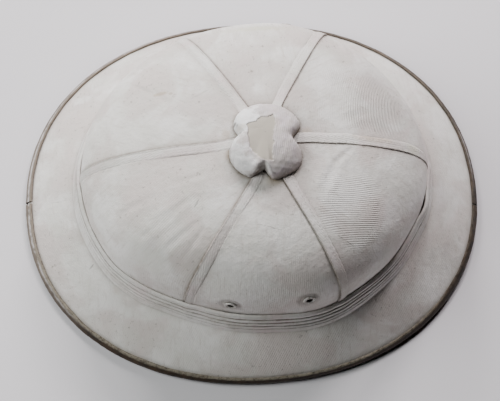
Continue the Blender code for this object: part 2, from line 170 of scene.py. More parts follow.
def bodyPlace(angle, station):
    # 0 to 1 is the crown from the vent to the band's top, 1 to 2 the wall behind the band, 2 to 3 the brim
    reach = crownReach(angle)
    onCrown = np.clip(station, 0, 1)
    radius = crown["ventRadius"] + (reach - crown["ventRadius"]) * np.sin(onCrown * math.pi / 2)
    height = crownHeight(angle, radius, reach)
    down = np.clip(station - 1, 0, 1)
    radius = np.where(station > 1, reach + crown["wallFlare"] * down, radius)
    height = np.where(station > 1, crown["bandTop"] + (crown["joinHeight"] - crown["bandTop"]) * down, height)
    brimRadius, brimHeight = brimPlace(angle, np.clip(station - 2, 0, 1))
    return np.where(station >= 2, brimRadius, radius), np.where(station >= 2, brimHeight, height)


def seamAngle(number, station):
    row = seams["rows"][number % len(seams["rows"])]
    straight = math.radians(row["angle"]) + 0 * station
    radius, _ = bodyPlace(straight, station)
    beside = row["beside"] * np.clip(1 - station, 0, 1) * np.clip(station / seams["meet"], 0, 1)
    return straight + np.arcsin(beside / radius)


def turnOf(number, station, across):  # plan angle that a distance across a seam takes up
    radius, _ = bodyPlace(seamAngle(number, station), station)
    return np.arcsin(across / radius)


def toWorld(angle, radius, height):
    x, y = helmet["apexX"] + radius * np.cos(angle), helmet["apexY"] + radius * np.sin(angle)
    return np.stack([x, y, height + 0 * angle], -1)


def heightAt(x, y):
    angle = np.arctan2(y - helmet["apexY"], x - helmet["apexX"])
    return crownHeight(angle, np.hypot(x - helmet["apexX"], y - helmet["apexY"]))


def onCrown(x, y):
    return (x, y, float(heightAt(np.array([x]), np.array([y]))[0]))


# Grids, relief and meshes

def gridNormals(points, closed=False):
    alongRows = np.gradient(points, axis=0)
    if closed:
        alongColumns = (np.roll(points, -1, 1) - np.roll(points, 1, 1)) / 2
    else:
        alongColumns = np.gradient(points, axis=1)
    normal = np.cross(alongRows, alongColumns)
    return normal / np.maximum(np.linalg.norm(normal, axis=-1, keepdims=True), 1e-12)


def lift(points, amount, closed=False):
    return points + gridNormals(points, closed) * np.asarray(amount)[..., None]


def waves(points, size, seed, count=14):  # soft unevenness of about -1 to 1, in lumps of one size
    random = np.random.default_rng(seed)
    total = np.zeros(points.shape[:-1])
    for _ in range(count):
        direction = random.normal(size=3)
        direction *= 2 * math.pi / (size * random.uniform(0.7, 1.5) * np.linalg.norm(direction))
        total += np.sin(points @ direction + random.uniform(0, 2 * math.pi))
    return total / math.sqrt(count / 2) / 2


def lumps(points, rows):
    return sum(row["height"] * waves(points, row["size"], row["seed"]) for row in rows)


def ramp(value, low, high):  # 0 below low, 1 above high, smooth between
    share = np.clip((value - low) / (high - low), 0, 1)
    return share * share * (3 - 2 * share)


def arcLengths(points):
    step = np.linalg.norm(np.diff(points, axis=0), axis=-1)
    return np.concatenate([np.zeros((1,) + step.shape[1:]), np.cumsum(step, axis=0)])


def flatPlace(points):  # the cloth lies as in the plan
    return np.stack([points[..., 0], points[..., 1], 0 * points[..., 0]], -1)


def addObject(name, data):
    obj = bpy.data.objects.new(name, data)
    bpy.context.scene.collection.objects.link(obj)
    return obj


# The darkening mark holds some dirt and painted shade in crevices, corners and under parts.
def clothMarks(place, dirtAndShade, **more):
    return {"clothPlace": place, "dirtAndShade": np.clip(np.asarray(dirtAndShade), 0, 1), **more}


def gridMesh(name, points, closed=False, tube=False, marks=None, drop=None):
    # Quads over a grid of points. Closed joins the last column to the first, and tube the last row.
    rows, columns = points.shape[:2]
    row, column = np.meshgrid(np.arange(rows if tube else rows - 1),
                              np.arange(columns if closed else columns - 1), indexing="ij")
    nextRow, nextColumn = (row + 1) % rows, (column + 1) % columns
    corners = [(row, column), (nextRow, column), (nextRow, nextColumn), (row, nextColumn)]
    faces = np.stack([r * columns + c for r, c in corners], -1).reshape(-1, 4)
    if drop is not None:
        faces = faces[~drop.ravel()[faces].all(1)]
    mesh = bpy.data.meshes.new(name)
    mesh.from_pydata(points.reshape(-1, 3).tolist(), [], faces.tolist())
    for key, values in (marks or {}).items():
        kind = "FLOAT_VECTOR" if values.ndim == points.ndim else "FLOAT"
        attribute = mesh.attributes.new(key, kind, "POINT")
        values = np.ascontiguousarray(values, np.float32).ravel()
        attribute.data.foreach_set("vector" if kind == "FLOAT_VECTOR" else "value", values)
    work = bmesh.new()
    work.from_mesh(mesh)
    loose = [vertex for vertex in work.verts if not vertex.link_faces]
    bmesh.ops.delete(work, geom=loose, context="VERTS")
    work.to_mesh(mesh)
    work.free()
    mesh.shade_smooth()
    return addObject(name, mesh)


def thicken(obj, thickness):
    solid = obj.modifiers.new("wall", "SOLIDIFY")
    solid.thickness, solid.offset = thickness, -1


def place(obj, slotName, material, node):
    obj.data.materials.clear()
    obj.data.materials.append(material)
    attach(obj, "root")
    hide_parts(node)


# Node helpers and shared shader groups

def fill(tree, node, inputs):
    for name, value in inputs.items():
        if isinstance(value, bpy.types.NodeSocket):
            tree.links.new(value, node.inputs[name])
        else:
            node.inputs[name].default_value = value


def addNode(tree, kind, inputs=None, **settings):
    node = tree.nodes.new("ShaderNode" + kind)
    for name, value in settings.items():
        setattr(node, name, value)
    fill(tree, node, inputs or {})
    return node


def calc(tree, operation, first, second=0.0, third=0.0, clamp=False):
    inputs = {0: first, 1: second, 2: third}
    return addNode(tree, "Math", inputs, operation=operation, use_clamp=clamp).outputs[0]


def times(tree, *values, clamp=False):
    product = values[0]
    for value in values[1:]:
        product = calc(tree, "MULTIPLY", product, value, clamp=clamp and value is values[-1])
    return product


def scaleAdd(tree, value, factor, plus):
    return calc(tree, "MULTIPLY_ADD", value, factor, plus)


def vectorCalc(tree, operation, first, second=None, scale=None, output="Vector"):
    inputs = {0: first, 1: second, "Scale": scale}
    inputs = {name: value for name, value in inputs.items() if value is not None}
    return addNode(tree, "VectorMath", inputs, operation=operation).outputs[output]


def mixColour(tree, factor, first, second):
    return addNode(tree, "Mix", {0: factor, 6: first, 7: second}, data_type="RGBA").outputs[2]


def rampNode(tree, value, low, high, start=0.0, end=1.0):
    inputs = {"Value": value, "From Min": low, "From Max": high, "To Min": start, "To Max": end}
    return addNode(tree, "MapRange", inputs, interpolation_type="SMOOTHSTEP").outputs[0]


def noiseNode(tree, place, scale, detail=4.0, roughness=0.55, distortion=0.0):
    inputs = {"Vector": place, "Scale": scale, "Detail": detail, "Roughness": roughness,
              "Distortion": distortion}
    return addNode(tree, "TexNoise", inputs).outputs[0]


def newGroup(name, inputs, outputs):
    group = bpy.data.node_groups.new(name, "ShaderNodeTree")
    kinds = {"vector": "NodeSocketVector", "value": "NodeSocketFloat"}
    for socketName, (kind, value) in inputs.items():
        socket = group.interface.new_socket(socketName, in_out="INPUT", socket_type=kinds[kind])
        if value is not None:
            socket.default_value = value
    for socketName in outputs:
        group.interface.new_socket(socketName, in_out="OUTPUT", socket_type=kinds["value"])
    return group, group.nodes.new("NodeGroupInput").outputs, group.nodes.new("NodeGroupOutput")


def useGroup(tree, group, **inputs):
    return addNode(tree, "Group", inputs, node_tree=group).outputs


def makeWeave():  # drill: diagonal ribs crossed by finer threads, over a place in metres
    inputs = {"Place": ("vector", None), "Pitch": ("value", 0.0017), "Turn": ("value", 0.0),
              "Wander": ("value", 0.35)}
    tree, given, out = newGroup("drillWeave", inputs, ["Height", "Shade"])
    wander = noiseNode(tree, given["Place"], 60.0, 2.0)
    turned = addNode(tree, "VectorRotate", {"Vector": given["Place"], "Angle": given["Turn"]},
                     rotation_type="Z_AXIS").outputs[0]
    parts = addNode(tree, "SeparateXYZ", {0: turned}).outputs
    rate = calc(tree, "DIVIDE", 2 * math.pi, given["Pitch"])
    slip = times(tree, given["Wander"], 12.0, calc(tree, "SUBTRACT", wander, 0.5))
    rib = calc(tree, "SINE", calc(tree, "ADD", times(tree, parts[0], rate), slip))
    cross = calc(tree, "SINE", times(tree, rate, 2.1, parts[1]))
    ribShare = scaleAdd(tree, rib, 0.5, 0.5)
    threads = times(tree, scaleAdd(tree, cross, 0.5, 0.5), 0.35)
    height = calc(tree, "ADD", ribShare, times(tree, threads, ribShare))
    fill(tree, out, {"Height": height, "Shade": calc(tree, "SUBTRACT", 1.0, ribShare)})
    return tree


def makeSoil():  # patchy dirt in broad clouds, and small flecks
    inputs = {"Place": ("vector", None), "Size": ("value", 0.05), "Cover": ("value", 0.5)}
    tree, given, out = newGroup("softSoil", inputs, ["Mask", "Flecks"])
    rate = calc(tree, "DIVIDE", 1.0, given["Size"])
    cloud = noiseNode(tree, given["Place"], rate, 5.0, 0.6, 0.4)
    low = calc(tree, "SUBTRACT", 0.72, times(tree, given["Cover"], 0.4))
    mask = rampNode(tree, cloud, low, calc(tree, "ADD", low, 0.14))
    fine = noiseNode(tree, given["Place"], times(tree, rate, 14.0), 3.0, 0.7)
    fill(tree, out, {"Mask": mask, "Flecks": rampNode(tree, fine, 0.6, 0.72)})
    return tree


def makeLineMark():  # a thin scratch or crease between two points
    inputs = {"Place": ("vector", None), "From": ("vector", None), "To": ("vector", None),
              "Width": ("value", 0.0006), "Ragged": ("value", 0.0015)}
    tree, given, out = newGroup("lineMark", inputs, ["Mask"])
    wobble = addNode(tree, "TexNoise", {"Vector": given["Place"], "Scale": 260.0, "Detail": 2.0})
    centred = vectorCalc(tree, "SUBTRACT", wobble.outputs["Color"], (0.5, 0.5, 0.5))
    here = vectorCalc(tree, "ADD", given["Place"], vectorCalc(tree, "SCALE", centred, scale=given["Ragged"]))
    fromStart = vectorCalc(tree, "SUBTRACT", here, given["From"])
    run = vectorCalc(tree, "SUBTRACT", given["To"], given["From"])
    along = vectorCalc(tree, "DOT_PRODUCT", fromStart, run, output="Value")
    square = vectorCalc(tree, "DOT_PRODUCT", run, run, output="Value")
    share = calc(tree, "DIVIDE", along, square, clamp=True)
    nearest = vectorCalc(tree, "SCALE", run, scale=share)
    away = vectorCalc(tree, "DISTANCE", fromStart, nearest, output="Value")
    taper = times(tree, share, calc(tree, "SUBTRACT", 1.0, share), 4.0)
    width = times(tree, given["Width"], scaleAdd(tree, taper, 0.7, 0.3))
    fill(tree, out, {"Mask": rampNode(tree, calc(tree, "DIVIDE", away, width), 0.4, 1.2, 1.0, 0.0)})
    return tree


def makeSpot():  # a spot round a point, with its own size along each axis and a ragged edge: stains, and painted shade in the cap's notches
    inputs = {"Place": ("vector", None), "Centre": ("vector", None), "Reach": ("vector", (0.01, 0.01, 0.01)),
              "Soft": ("value", 0.5), "Ragged": ("value", 0.3)}
    tree, given, out = newGroup("ragSpot", inputs, ["Mask"])
    away = vectorCalc(tree, "SUBTRACT", given["Place"], given["Centre"])
    shares = vectorCalc(tree, "DIVIDE", away, given["Reach"])
    distance = vectorCalc(tree, "LENGTH", shares, output="Value")
    rough = calc(tree, "SUBTRACT", noiseNode(tree, given["Place"], 140.0, 5.0, 0.65), 0.5)
    edge = calc(tree, "ADD", distance, times(tree, given["Ragged"], 2.5, rough))
    fill(tree, out, {"Mask": rampNode(tree, edge, calc(tree, "SUBTRACT", 1.0, given["Soft"]), 1.0, 1.0, 0.0)})
    return tree


def makeLeatherGrain():
    inputs = {"Place": ("vector", None), "Size": ("value", 0.0012)}
    tree, given, out = newGroup("leatherGrain", inputs, ["Height", "Creases"])
    rate = calc(tree, "DIVIDE", 1.0, given["Size"])
    cells = addNode(tree, "TexVoronoi", {"Vector": given["Place"], "Scale": rate}, feature="DISTANCE_TO_EDGE")
    creases = rampNode(tree, cells.outputs[0], 0.0, 0.16, 1.0, 0.0)
    soft = noiseNode(tree, given["Place"], times(tree, rate, 0.25), 5.0, 0.6)
    height = calc(tree, "SUBTRACT", soft, times(tree, creases, 0.25))
    fill(tree, out, {"Height": height, "Creases": creases})
    return tree


weaveGroup, soilGroup, lineGroup, spotGroup = makeWeave(), makeSoil(), makeLineMark(), makeSpot()
leatherGroup = makeLeatherGrain()
print("Shader groups are made")


# Materials

def startMaterial(name):
    material = bpy.data.materials.new(name)
    material.use_nodes = True
    material.node_tree.nodes.clear()
    here = addNode(material.node_tree, "TexCoord").outputs["Object"]
    return material, material.node_tree, here


def finishMaterial(tree, look, height=None, strength=0.5, depth=0.1 * mm):
    shader = addNode(tree, "BsdfPrincipled", look)
    if height is not None:
        bump = addNode(tree, "Bump", {"Strength": strength, "Distance": depth, "Height": height})
        tree.links.new(bump.outputs[0], shader.inputs["Normal"])
    addNode(tree, "OutputMaterial", {"Surface": shader.outputs[0]})


def attributeOf(tree, name, output="Fac"):
    return addNode(tree, "Attribute", attribute_name=name).outputs[output]


def addMarks(tree, colour, here, marks):
    for mark in marks:
        group = lineGroup if "To" in mark["inputs"] else spotGroup
        mask = useGroup(tree, group, Place=here, **mark["inputs"])["Mask"]
        colour = mixColour(tree, times(tree, mask, mark["strength"]), colour, mark["colour"])
    return colour


def makeCloth(name, look, marks=()):
    material, tree, here = startMaterial(name)
    place = attributeOf(tree, "clothPlace", "Vector")
    weave = useGroup(tree, weaveGroup, Place=place, Pitch=look["pitch"], Turn=look["turn"])
    bare = rampNode(tree, noiseNode(tree, here, 22.0, 3.0, 0.5), 0.40, 0.60, 1 - look["ribCover"], 1.0)
    ribs = times(tree, bare, scaleAdd(tree, attributeOf(tree, "ribbed"), look["ribPatch"], look["ribs"]))
    soil = useGroup(tree, soilGroup, Place=here, Size=look["soilSize"], Cover=look["soilCover"])
    shade = times(tree, ribs, look["ribShade"], weave["Shade"])
    colour = mixColour(tree, shade, look["colour"], look["shade"])
    tint = rampNode(tree, noiseNode(tree, here, 34.0, 4.0, 0.6), 0.35, 0.65)
    colour = mixColour(tree, times(tree, tint, look["tintStrength"]), colour, look["tint"])
    rosy = rampNode(tree, noiseNode(tree, here, 27.0, 3.0, 0.6, 0.5), 0.44, 0.66)
    colour = mixColour(tree, times(tree, rosy, look["rosyStrength"]), colour, look["rosy"])
    brushed = noiseNode(tree, vectorCalc(tree, "MULTIPLY", place, (1.0, 0.16, 1.0)), 420.0, 4.0, 0.62)
    colour = mixColour(tree, rampNode(tree, brushed, 0.50, 0.78, 0.0, look["brushed"]), colour, look["soil"])
    colour = mixColour(tree, times(tree, soil["Mask"], look["soilStrength"]), colour, look["soil"])
    flecks = times(tree, soil["Flecks"], scaleAdd(tree, soil["Mask"], 0.6, 0.15))
    colour = mixColour(tree, times(tree, flecks, look["fleckStrength"]), colour, look["dirt"])
    # Darkening from the mesh: some dirt, mostly painted shade along seams, in pleats and under the cap.
    patchy = scaleAdd(tree, noiseNode(tree, here, 170.0, 5.0, 0.7), 1.5, 0.2)
    dirtAndShade = times(tree, attributeOf(tree, "dirtAndShade"), patchy, look["dirtAndShadeStrength"], clamp=True)
    colour = addMarks(tree, mixColour(tree, dirtAndShade, colour, look["dirt"]), here, marks)
    fine, lumpy = noiseNode(tree, here, 900.0, 3.0, 0.6), noiseNode(tree, here, 210.0, 4.0, 0.6)
    ribHeight = times(tree, ribs, look["ribDepth"], weave["Height"])
    height = scaleAdd(tree, fine, 0.4, scaleAdd(tree, lumpy, 1.6, ribHeight))
    if "core" in look:  # where the cloth is worn right through
        worn = attributeOf(tree, "patch")
        core = mixColour(tree, noiseNode(tree, here, 120.0, 4.0), look["core"], look["coreShade"])
        colour = mixColour(tree, worn, colour, core)
        height = times(tree, height, scaleAdd(tree, worn, -0.8, 1.0))
    surface = {"Base Color": colour, "Roughness": 0.93, "Specular IOR Level": 0.25, "Sheen Weight": 0.08,
               "Sheen Roughness": 0.6}
    finishMaterial(tree, surface, height, 0.9, 0.4 * mm)
    return material


cloth = {
    "colour": (0.865, 0.84, 0.81, 1), "shade": (0.60, 0.58, 0.55, 1), "soil": (0.62, 0.57, 0.52, 1),
    # The dark tone serves the dirt flecks and the painted shade.
    "tint": (0.72, 0.70, 0.645, 1), "tintStrength": 0.8, "dirt": (0.20, 0.165, 0.13, 1),
    "rosy": (0.77, 0.68, 0.66, 1), "rosyStrength": 0.95,
    "pitch": 1.4 * mm, "turn": 0.8, "ribs": 0.2, "ribPatch": 0.0, "ribCover": 0.6, "ribShade": 0.5,
    "ribDepth": 1.0, "brushed": 0.75, "soilSize": 38 * mm, "soilCover": 0.75, "soilStrength": 0.55,
    "fleckStrength": 0.8, "dirtAndShadeStrength": 0.95,
}
markColours = {
    "beige": (0.52, 0.42, 0.30, 1), "grey": (0.40, 0.37, 0.34, 1), "dark": (0.10, 0.08, 0.06, 1),
    "brown": (0.30, 0.20, 0.11, 1), "yellow": (0.62, 0.60, 0.44, 1), "lilac": (0.56, 0.50, 0.50, 1),
    "mauve": (0.54, 0.47, 0.45, 1), "white": (0.90, 0.89, 0.88, 1),
}


def onBrim(x, y):
    angle = np.array([math.atan2(y - helmet["apexY"], x - helmet["apexX"])])
    start, end, _, _ = brimLine(angle)
    share = (math.hypot(x - helmet["apexX"], y - helmet["apexY"]) - start) / (end - start)
    return (x, y, float(brimPlace(angle, share)[1][0]))


def spotMark(centre, reach, colour, strength, soft=0.6, ragged=0.3):
    inputs = {"Centre": centre, "Reach": [value * mm for value in reach], "Soft": soft, "Ragged": ragged}
    return {"inputs": inputs, "colour": markColours[colour], "strength": strength}


def lineMark(start, end, width, colour, strength):
    inputs = {"From": start, "To": end, "Width": width * mm}
    return {"inputs": inputs, "colour": markColours[colour], "strength": strength}


def spotsOn(surface):  # makes spots at a place in the plan, in mm
    return lambda x, y, *look: spotMark(surface(x * mm, y * mm), *look)


def linesOn(surface):
    return lambda x, y, endX, endY, *look: lineMark(
        surface(x * mm, y * mm), surface(endX * mm, endY * mm), *look)


spot, line, brimSpot, brimScratch = spotsOn(onCrown), linesOn(onCrown), spotsOn(onBrim), linesOn(onBrim)
crownMarks = [  # a row of marks for each panel
    [spot(32.4, 29.0, (1.2, 1.2, 2), "grey", 0.8), spot(34, 2, (5, 6, 6), "beige", 0.35),
     spot(88, 50, (26, 12, 20), "lilac", 0.35, 0.9)],
    [spot(7.0, 92.5, (32, 5, 12), "yellow", 0.5, 0.8), spot(14, 55, (3, 9, 6), "grey", 0.10, 0.9)],
    [spot(-65.0, 41.2, (8, 2.0, 6), "beige", 0.55), spot(-57.5, 40.0, (2.0, 1.4, 3), "brown", 0.35),
     line(-82.6, 54.6, -70.6, 44.3, 1.6, "grey", 0.30), spot(-38.3, 29.9, (1.1, 1.1, 2), "grey", 0.8),
     line(-44.0, 33.0, -30.0, 39.0, 0.7, "grey", 0.35), spot(-21.5, 3.0, (5, 6, 5), "brown", 0.40, 0.8)],
    [line(-45.5, -45.7, -42.2, -41.1, 0.7, "dark", 0.45),
     spot(-19.6, -13.2, (6, 6, 5), "brown", 0.30, 0.8, 0.6),
     spot(-28.0, -18.0, (9, 8, 6), "grey", 0.25, 0.8, 0.9),
     line(-70.0, -56.0, -50.0, -38.0, 2.6, "grey", 0.16),
     line(-92.0, -50.0, -72.0, -33.0, 2.2, "grey", 0.13),
     spot(-74.0, -64.0, (9, 8, 14), "lilac", 0.35, 0.9)],
    [line(-11.8, -60.3, 0.2, -61.8, 0.55, "dark", 0.40), line(0.2, -61.8, 13.4, -66.3, 0.55, "dark", 0.40),
     spot(8.0, -33.0, (9, 5, 6), "beige", 0.35, 0.8), spot(30.0, -90.0, (16, 12, 26), "lilac", 0.30, 0.9)],
    [line(50.1, -69.0, 60.7, -74.8, 0.6, "dark", 0.45), line(47.5, -62.5, 53.0, -65.0, 0.5, "dark", 0.25),
     spot(35.0, -15.0, (7, 6, 5), "grey", 0.20, 0.9),
     lineMark((0.0522, -0.0973, 0.079), (0.0562, -0.0979, 0.052), 0.9, "dark", 0.85),
     spot(90.0, -50.0, (20, 16, 22), "lilac", 0.30, 0.9)],
]
brimMarks = [
    brimScratch(-130.9, -59.8, -123.8, -59.1, 0.6, "dark", 0.35),
    brimScratch(-123.8, -59.1, -119.7, -55.9, 0.9, "dark", 0.50),
    brimScratch(-151.8, -2.9, -141.6, -5.2, 0.7, "dark", 0.22),
    brimSpot(128.4, -62.1, (5, 8, 6), "grey", 0.30, 0.7, 0.5),
    brimSpot(140.4, -56.4, (6, 10, 6), "grey", 0.24, 0.7, 0.5),
    brimSpot(152.3, -46.8, (2.0, 2.4, 3), "grey", 0.45, 0.6),
    brimSpot(138.0, -15.0, (14, 34, 12), "lilac", 0.25, 0.9),
    brimSpot(-26.3, -117.3, (1.2, 9, 4), "grey", 0.18, 0.8),
    brimSpot(-105.0, -76.0, (6, 5, 4), "beige", 0.16, 0.8),
]
seamMarks = [
    spot(82.0, 0.5, (24, 5, 16), "beige", 0.50, 0.7, 0.3), spot(112.0, -1.0, (9, 6, 12), "yellow", 0.40, 0.7),
    spot(-30.0, -66.0, (16, 38, 34), "mauve", 0.6, 0.7), spot(54.0, -92.0, (10, 20, 26), "beige", 0.18, 0.9),
]


# Eyelet places

eyelets = {
    "spacing": 0.054, "shift": 0.003, "height": 0.0737, "lean": 0.0037, "flange": 4.6 * mm,
    "barrel": 3.0 * mm, "bore": 2.25 * mm, "rim": 0.9 * mm, "tail": 0.6 * mm, "steps": 48,
    "hole": 3.35 * mm, "cut": 4.4 * mm,
}


def eyeletFrames():
    frames = []
    for side in (-1, 1):
        for end in (-1, 1):
            x = eyelets["shift"] + end * eyelets["spacing"] / 2
            wanted = eyelets["height"] + end * eyelets["lean"]
            low, high = 0.0, crown["width"] / 2
            for _ in range(40):
                y = side * (low + high) / 2
                inside = onCrown(x, y)[2] > wanted
                low, high = (abs(y), high) if inside else (low, abs(y))
            step = 1e-5
            slopeX = (onCrown(x + step, y)[2] - onCrown(x - step, y)[2]) / (2 * step)
            slopeY = (onCrown(x, y + step)[2] - onCrown(x, y - step)[2]) / (2 * step)
            frames.append((Vector((x, y, wanted)), Vector((-slopeX, -slopeY, 1)).normalized()))
    return frames


eyeletPlaces = eyeletFrames()


def fromEyelets(points):  # distance from the nearest eyelet's axis
    nearest = np.full(points.shape[:-1], 1.0)
    for centre, direction in eyeletPlaces:
        away = points - np.array(centre)
        along = (away @ np.array(direction))[..., None] * np.array(direction)
        distance = np.linalg.norm(away - along, axis=-1)
        close = np.linalg.norm(away, axis=-1) < 0.03
        nearest = np.where(close, np.minimum(nearest, distance), nearest)
    return nearest


def openEyelets(points):  # moves points off the holes
    radius = eyelets["hole"]
    for centre, direction in eyeletPlaces:
        centre, direction = np.array(centre), np.array(direction)
        away = points - centre
        along = (away @ direction)[..., None] * direction
        flat = away - along
        distance = np.maximum(np.linalg.norm(flat, axis=-1, keepdims=True), 1e-6)
        close = (np.linalg.norm(away, axis=-1, keepdims=True) < 0.02) & (distance < radius)
        points = np.where(close, centre + along + flat / distance * radius, points)
    return points


# Outline of the ventilator cap

cap = {
    "radius": 28.2 * mm, "height": 13.1 * mm, "roundness": 2.9, "seat": 0.4 * mm,
    "moved": {"x": 0.4 * mm, "y": -2.2 * mm}, "longer": 0.5 * mm,
    "neck": 6.0 * mm, "neckOuter": 7.7 * mm, "wall": 1.3 * mm, "underTop": 2.2 * mm,
    "columns": 300, "rings": 84,
    "under": [  # the underside: share of the rim's radius, and height over the crown
        (0.985, 0.1 * mm), (0.95, 0.25 * mm), (0.90, 1.2 * mm), (0.75, 5.0 * mm), (0.5, 9.0 * mm),
    ],
    "lumps": [{"size": 14 * mm, "height": 0.26 * mm, "seed": 101},
              {"size": 5 * mm, "height": 0.13 * mm, "seed": 102}],
    "notches": [
        {"angle": -4.2, "depth": 0.33, "before": 18.9, "after": 18.9, "power": 2.0, "steep": 12.0},
        {"angle": 172.7, "depth": 0.40, "before": 20.5, "after": 20.5, "power": 1.3, "steep": 16.0},
        {"angle": 265.5, "depth": 0.25, "before": 12.0, "after": 7.5, "power": 2.0, "steep": 70.0},
    ],
    "creviceShade": [  # painted shade in the notches, and how near to the rim it stays
        {"angle": 157, "width": 10, "dark": 1.1, "power": 5},
        {"angle": 263, "width": 6, "dark": 0.88, "power": 14},
    ],
}


def capBite(angle):
    bite, steep = 0 * angle, 0 * angle
    for notch in cap["notches"]:
        away = awayFrom(angle, notch["angle"])
        away = np.abs(away) / np.where(away < 0, notch["before"], notch["after"])
        share = notch["depth"] * np.exp(-(away ** notch["power"]))
        bite, steep = bite + share, steep + notch["steep"] * share
    return bite, steep


def capRim(angle):  # its radius round the crown's apex
    whole = (cap["radius"] + cap["moved"]["x"] * np.cos(angle) + cap["moved"]["y"] * np.sin(angle)
             + cap["longer"] * np.cos(2 * angle))
    return whole * (1 - capBite(angle)[0])


# Crown panels

strips = {
    "rows": 220, "pitch": 2.6 * mm, "stitch": {"length": 1.9 * mm, "radius": 0.12 * mm, "rows": [-2.35, 1.7]},
    "bold": [0.40, 0.80, 1.0, 1.15, 1.0, 0.8],
    # Painted shade: a dark line in the crevice by the strip's sharp edge.
    "shadedCrevice": {"across": -3.5 * mm, "width": 0.45 * mm},
    # Darker lines across the strip: painted shade at its lower edge, and a line along one stitch row.
    "darkLines": [(0.15, 3.3, 0.5), (0.12, -2.35, 0.4)],  # how dark, place across and width, in mm
    "section": [  # across the seam and up from the cloth, in mm
        (-3.35, -0.45), (-3.62, -0.10), (-3.72, 0.30), (-3.62, 0.72), (-3.36, 0.98), (-3.00, 1.06),
        (-2.70, 0.98), (-2.35, 0.80), (-2.00, 0.80), (-1.40, 0.80), (-0.60, 0.70), (0.20, 0.62),
        (0.90, 0.58), (1.35, 0.52), (1.70, 0.38), (2.05, 0.42), (2.60, 0.32), (3.15, 0.14), (3.60, -0.02),
        (4.00, -0.22), (3.60, -0.45), (1.00, -0.45), (-1.20, -0.45),
    ],
}
panels = {
    "rows": 100, "hiddenRows": 6, "columns": 76, "tuck": 0.8 * mm,
    "sag": {"depth": 0.35 * mm, "width": 2.2 * mm},
    "roundEyelets": [(0.2, 9.5, 1.8), (-0.55, 6.6, 1.5)],  # rise, distance from the axis and width, in mm
    "pucker": {"height": 0.09 * mm, "pitch": 6.5 * mm, "reach": 5 * mm},
    "lumps": [{"size": 42 * mm, "height": 0.30 * mm, "seed": 3},
              {"size": 14 * mm, "height": 0.08 * mm, "seed": 5}],
    "ribs": [  # how the drill's ribs turn on each panel, and how clear they are, more so in a patch (mm)
        {"turn": 1.03, "all": 0.14, "patch": 1.1, "x": 86, "y": 36, "reach": 34},
        {"turn": 0.40, "all": 0.08, "patch": 0.0, "x": 0, "y": 0, "reach": 1000},
        {"turn": 1.20, "all": 0.10, "patch": 0.0, "x": 0, "y": 0, "reach": 1000},
        {"turn": 0.19, "all": 0.16, "patch": 0.15, "x": -62, "y": -60, "reach": 26},
        {"turn": 0.0, "all": 0.15, "patch": 0.0, "x": 0, "y": 0, "reach": 1000},
        {"turn": 0.66, "all": 0.06, "patch": 1.0, "x": 59, "y": -52, "reach": 24},
    ],
    "creases": [  # soft folds: from x, y to x, y in the plan, width and depth, in mm
        (63, -10, 52, -20, 2.2, 0.55), (52, -20, 42, -40, 3.5, 0.45), (-76, -53, -46, -39, 2.4, 0.30),
        (-84, -60, -56, -47, 2.2, 0.28), (-67, -70, -44, -56, 2.6, 0.32), (-97, -41, -72, -34, 2.6, 0.28),
        (-54, -77, -40, -60, 2.0, 0.24), (-61, -28, -36, -24, 2.4, 0.26), (-5, -48, 14, -56, 1.8, 0.22),
        (-72, 47, -58, 30, 3.0, 0.30), (20, 78, 12, 52, 4.0, 0.28), (84, 22, 58, 12, 3.5, 0.28),
    ],
}


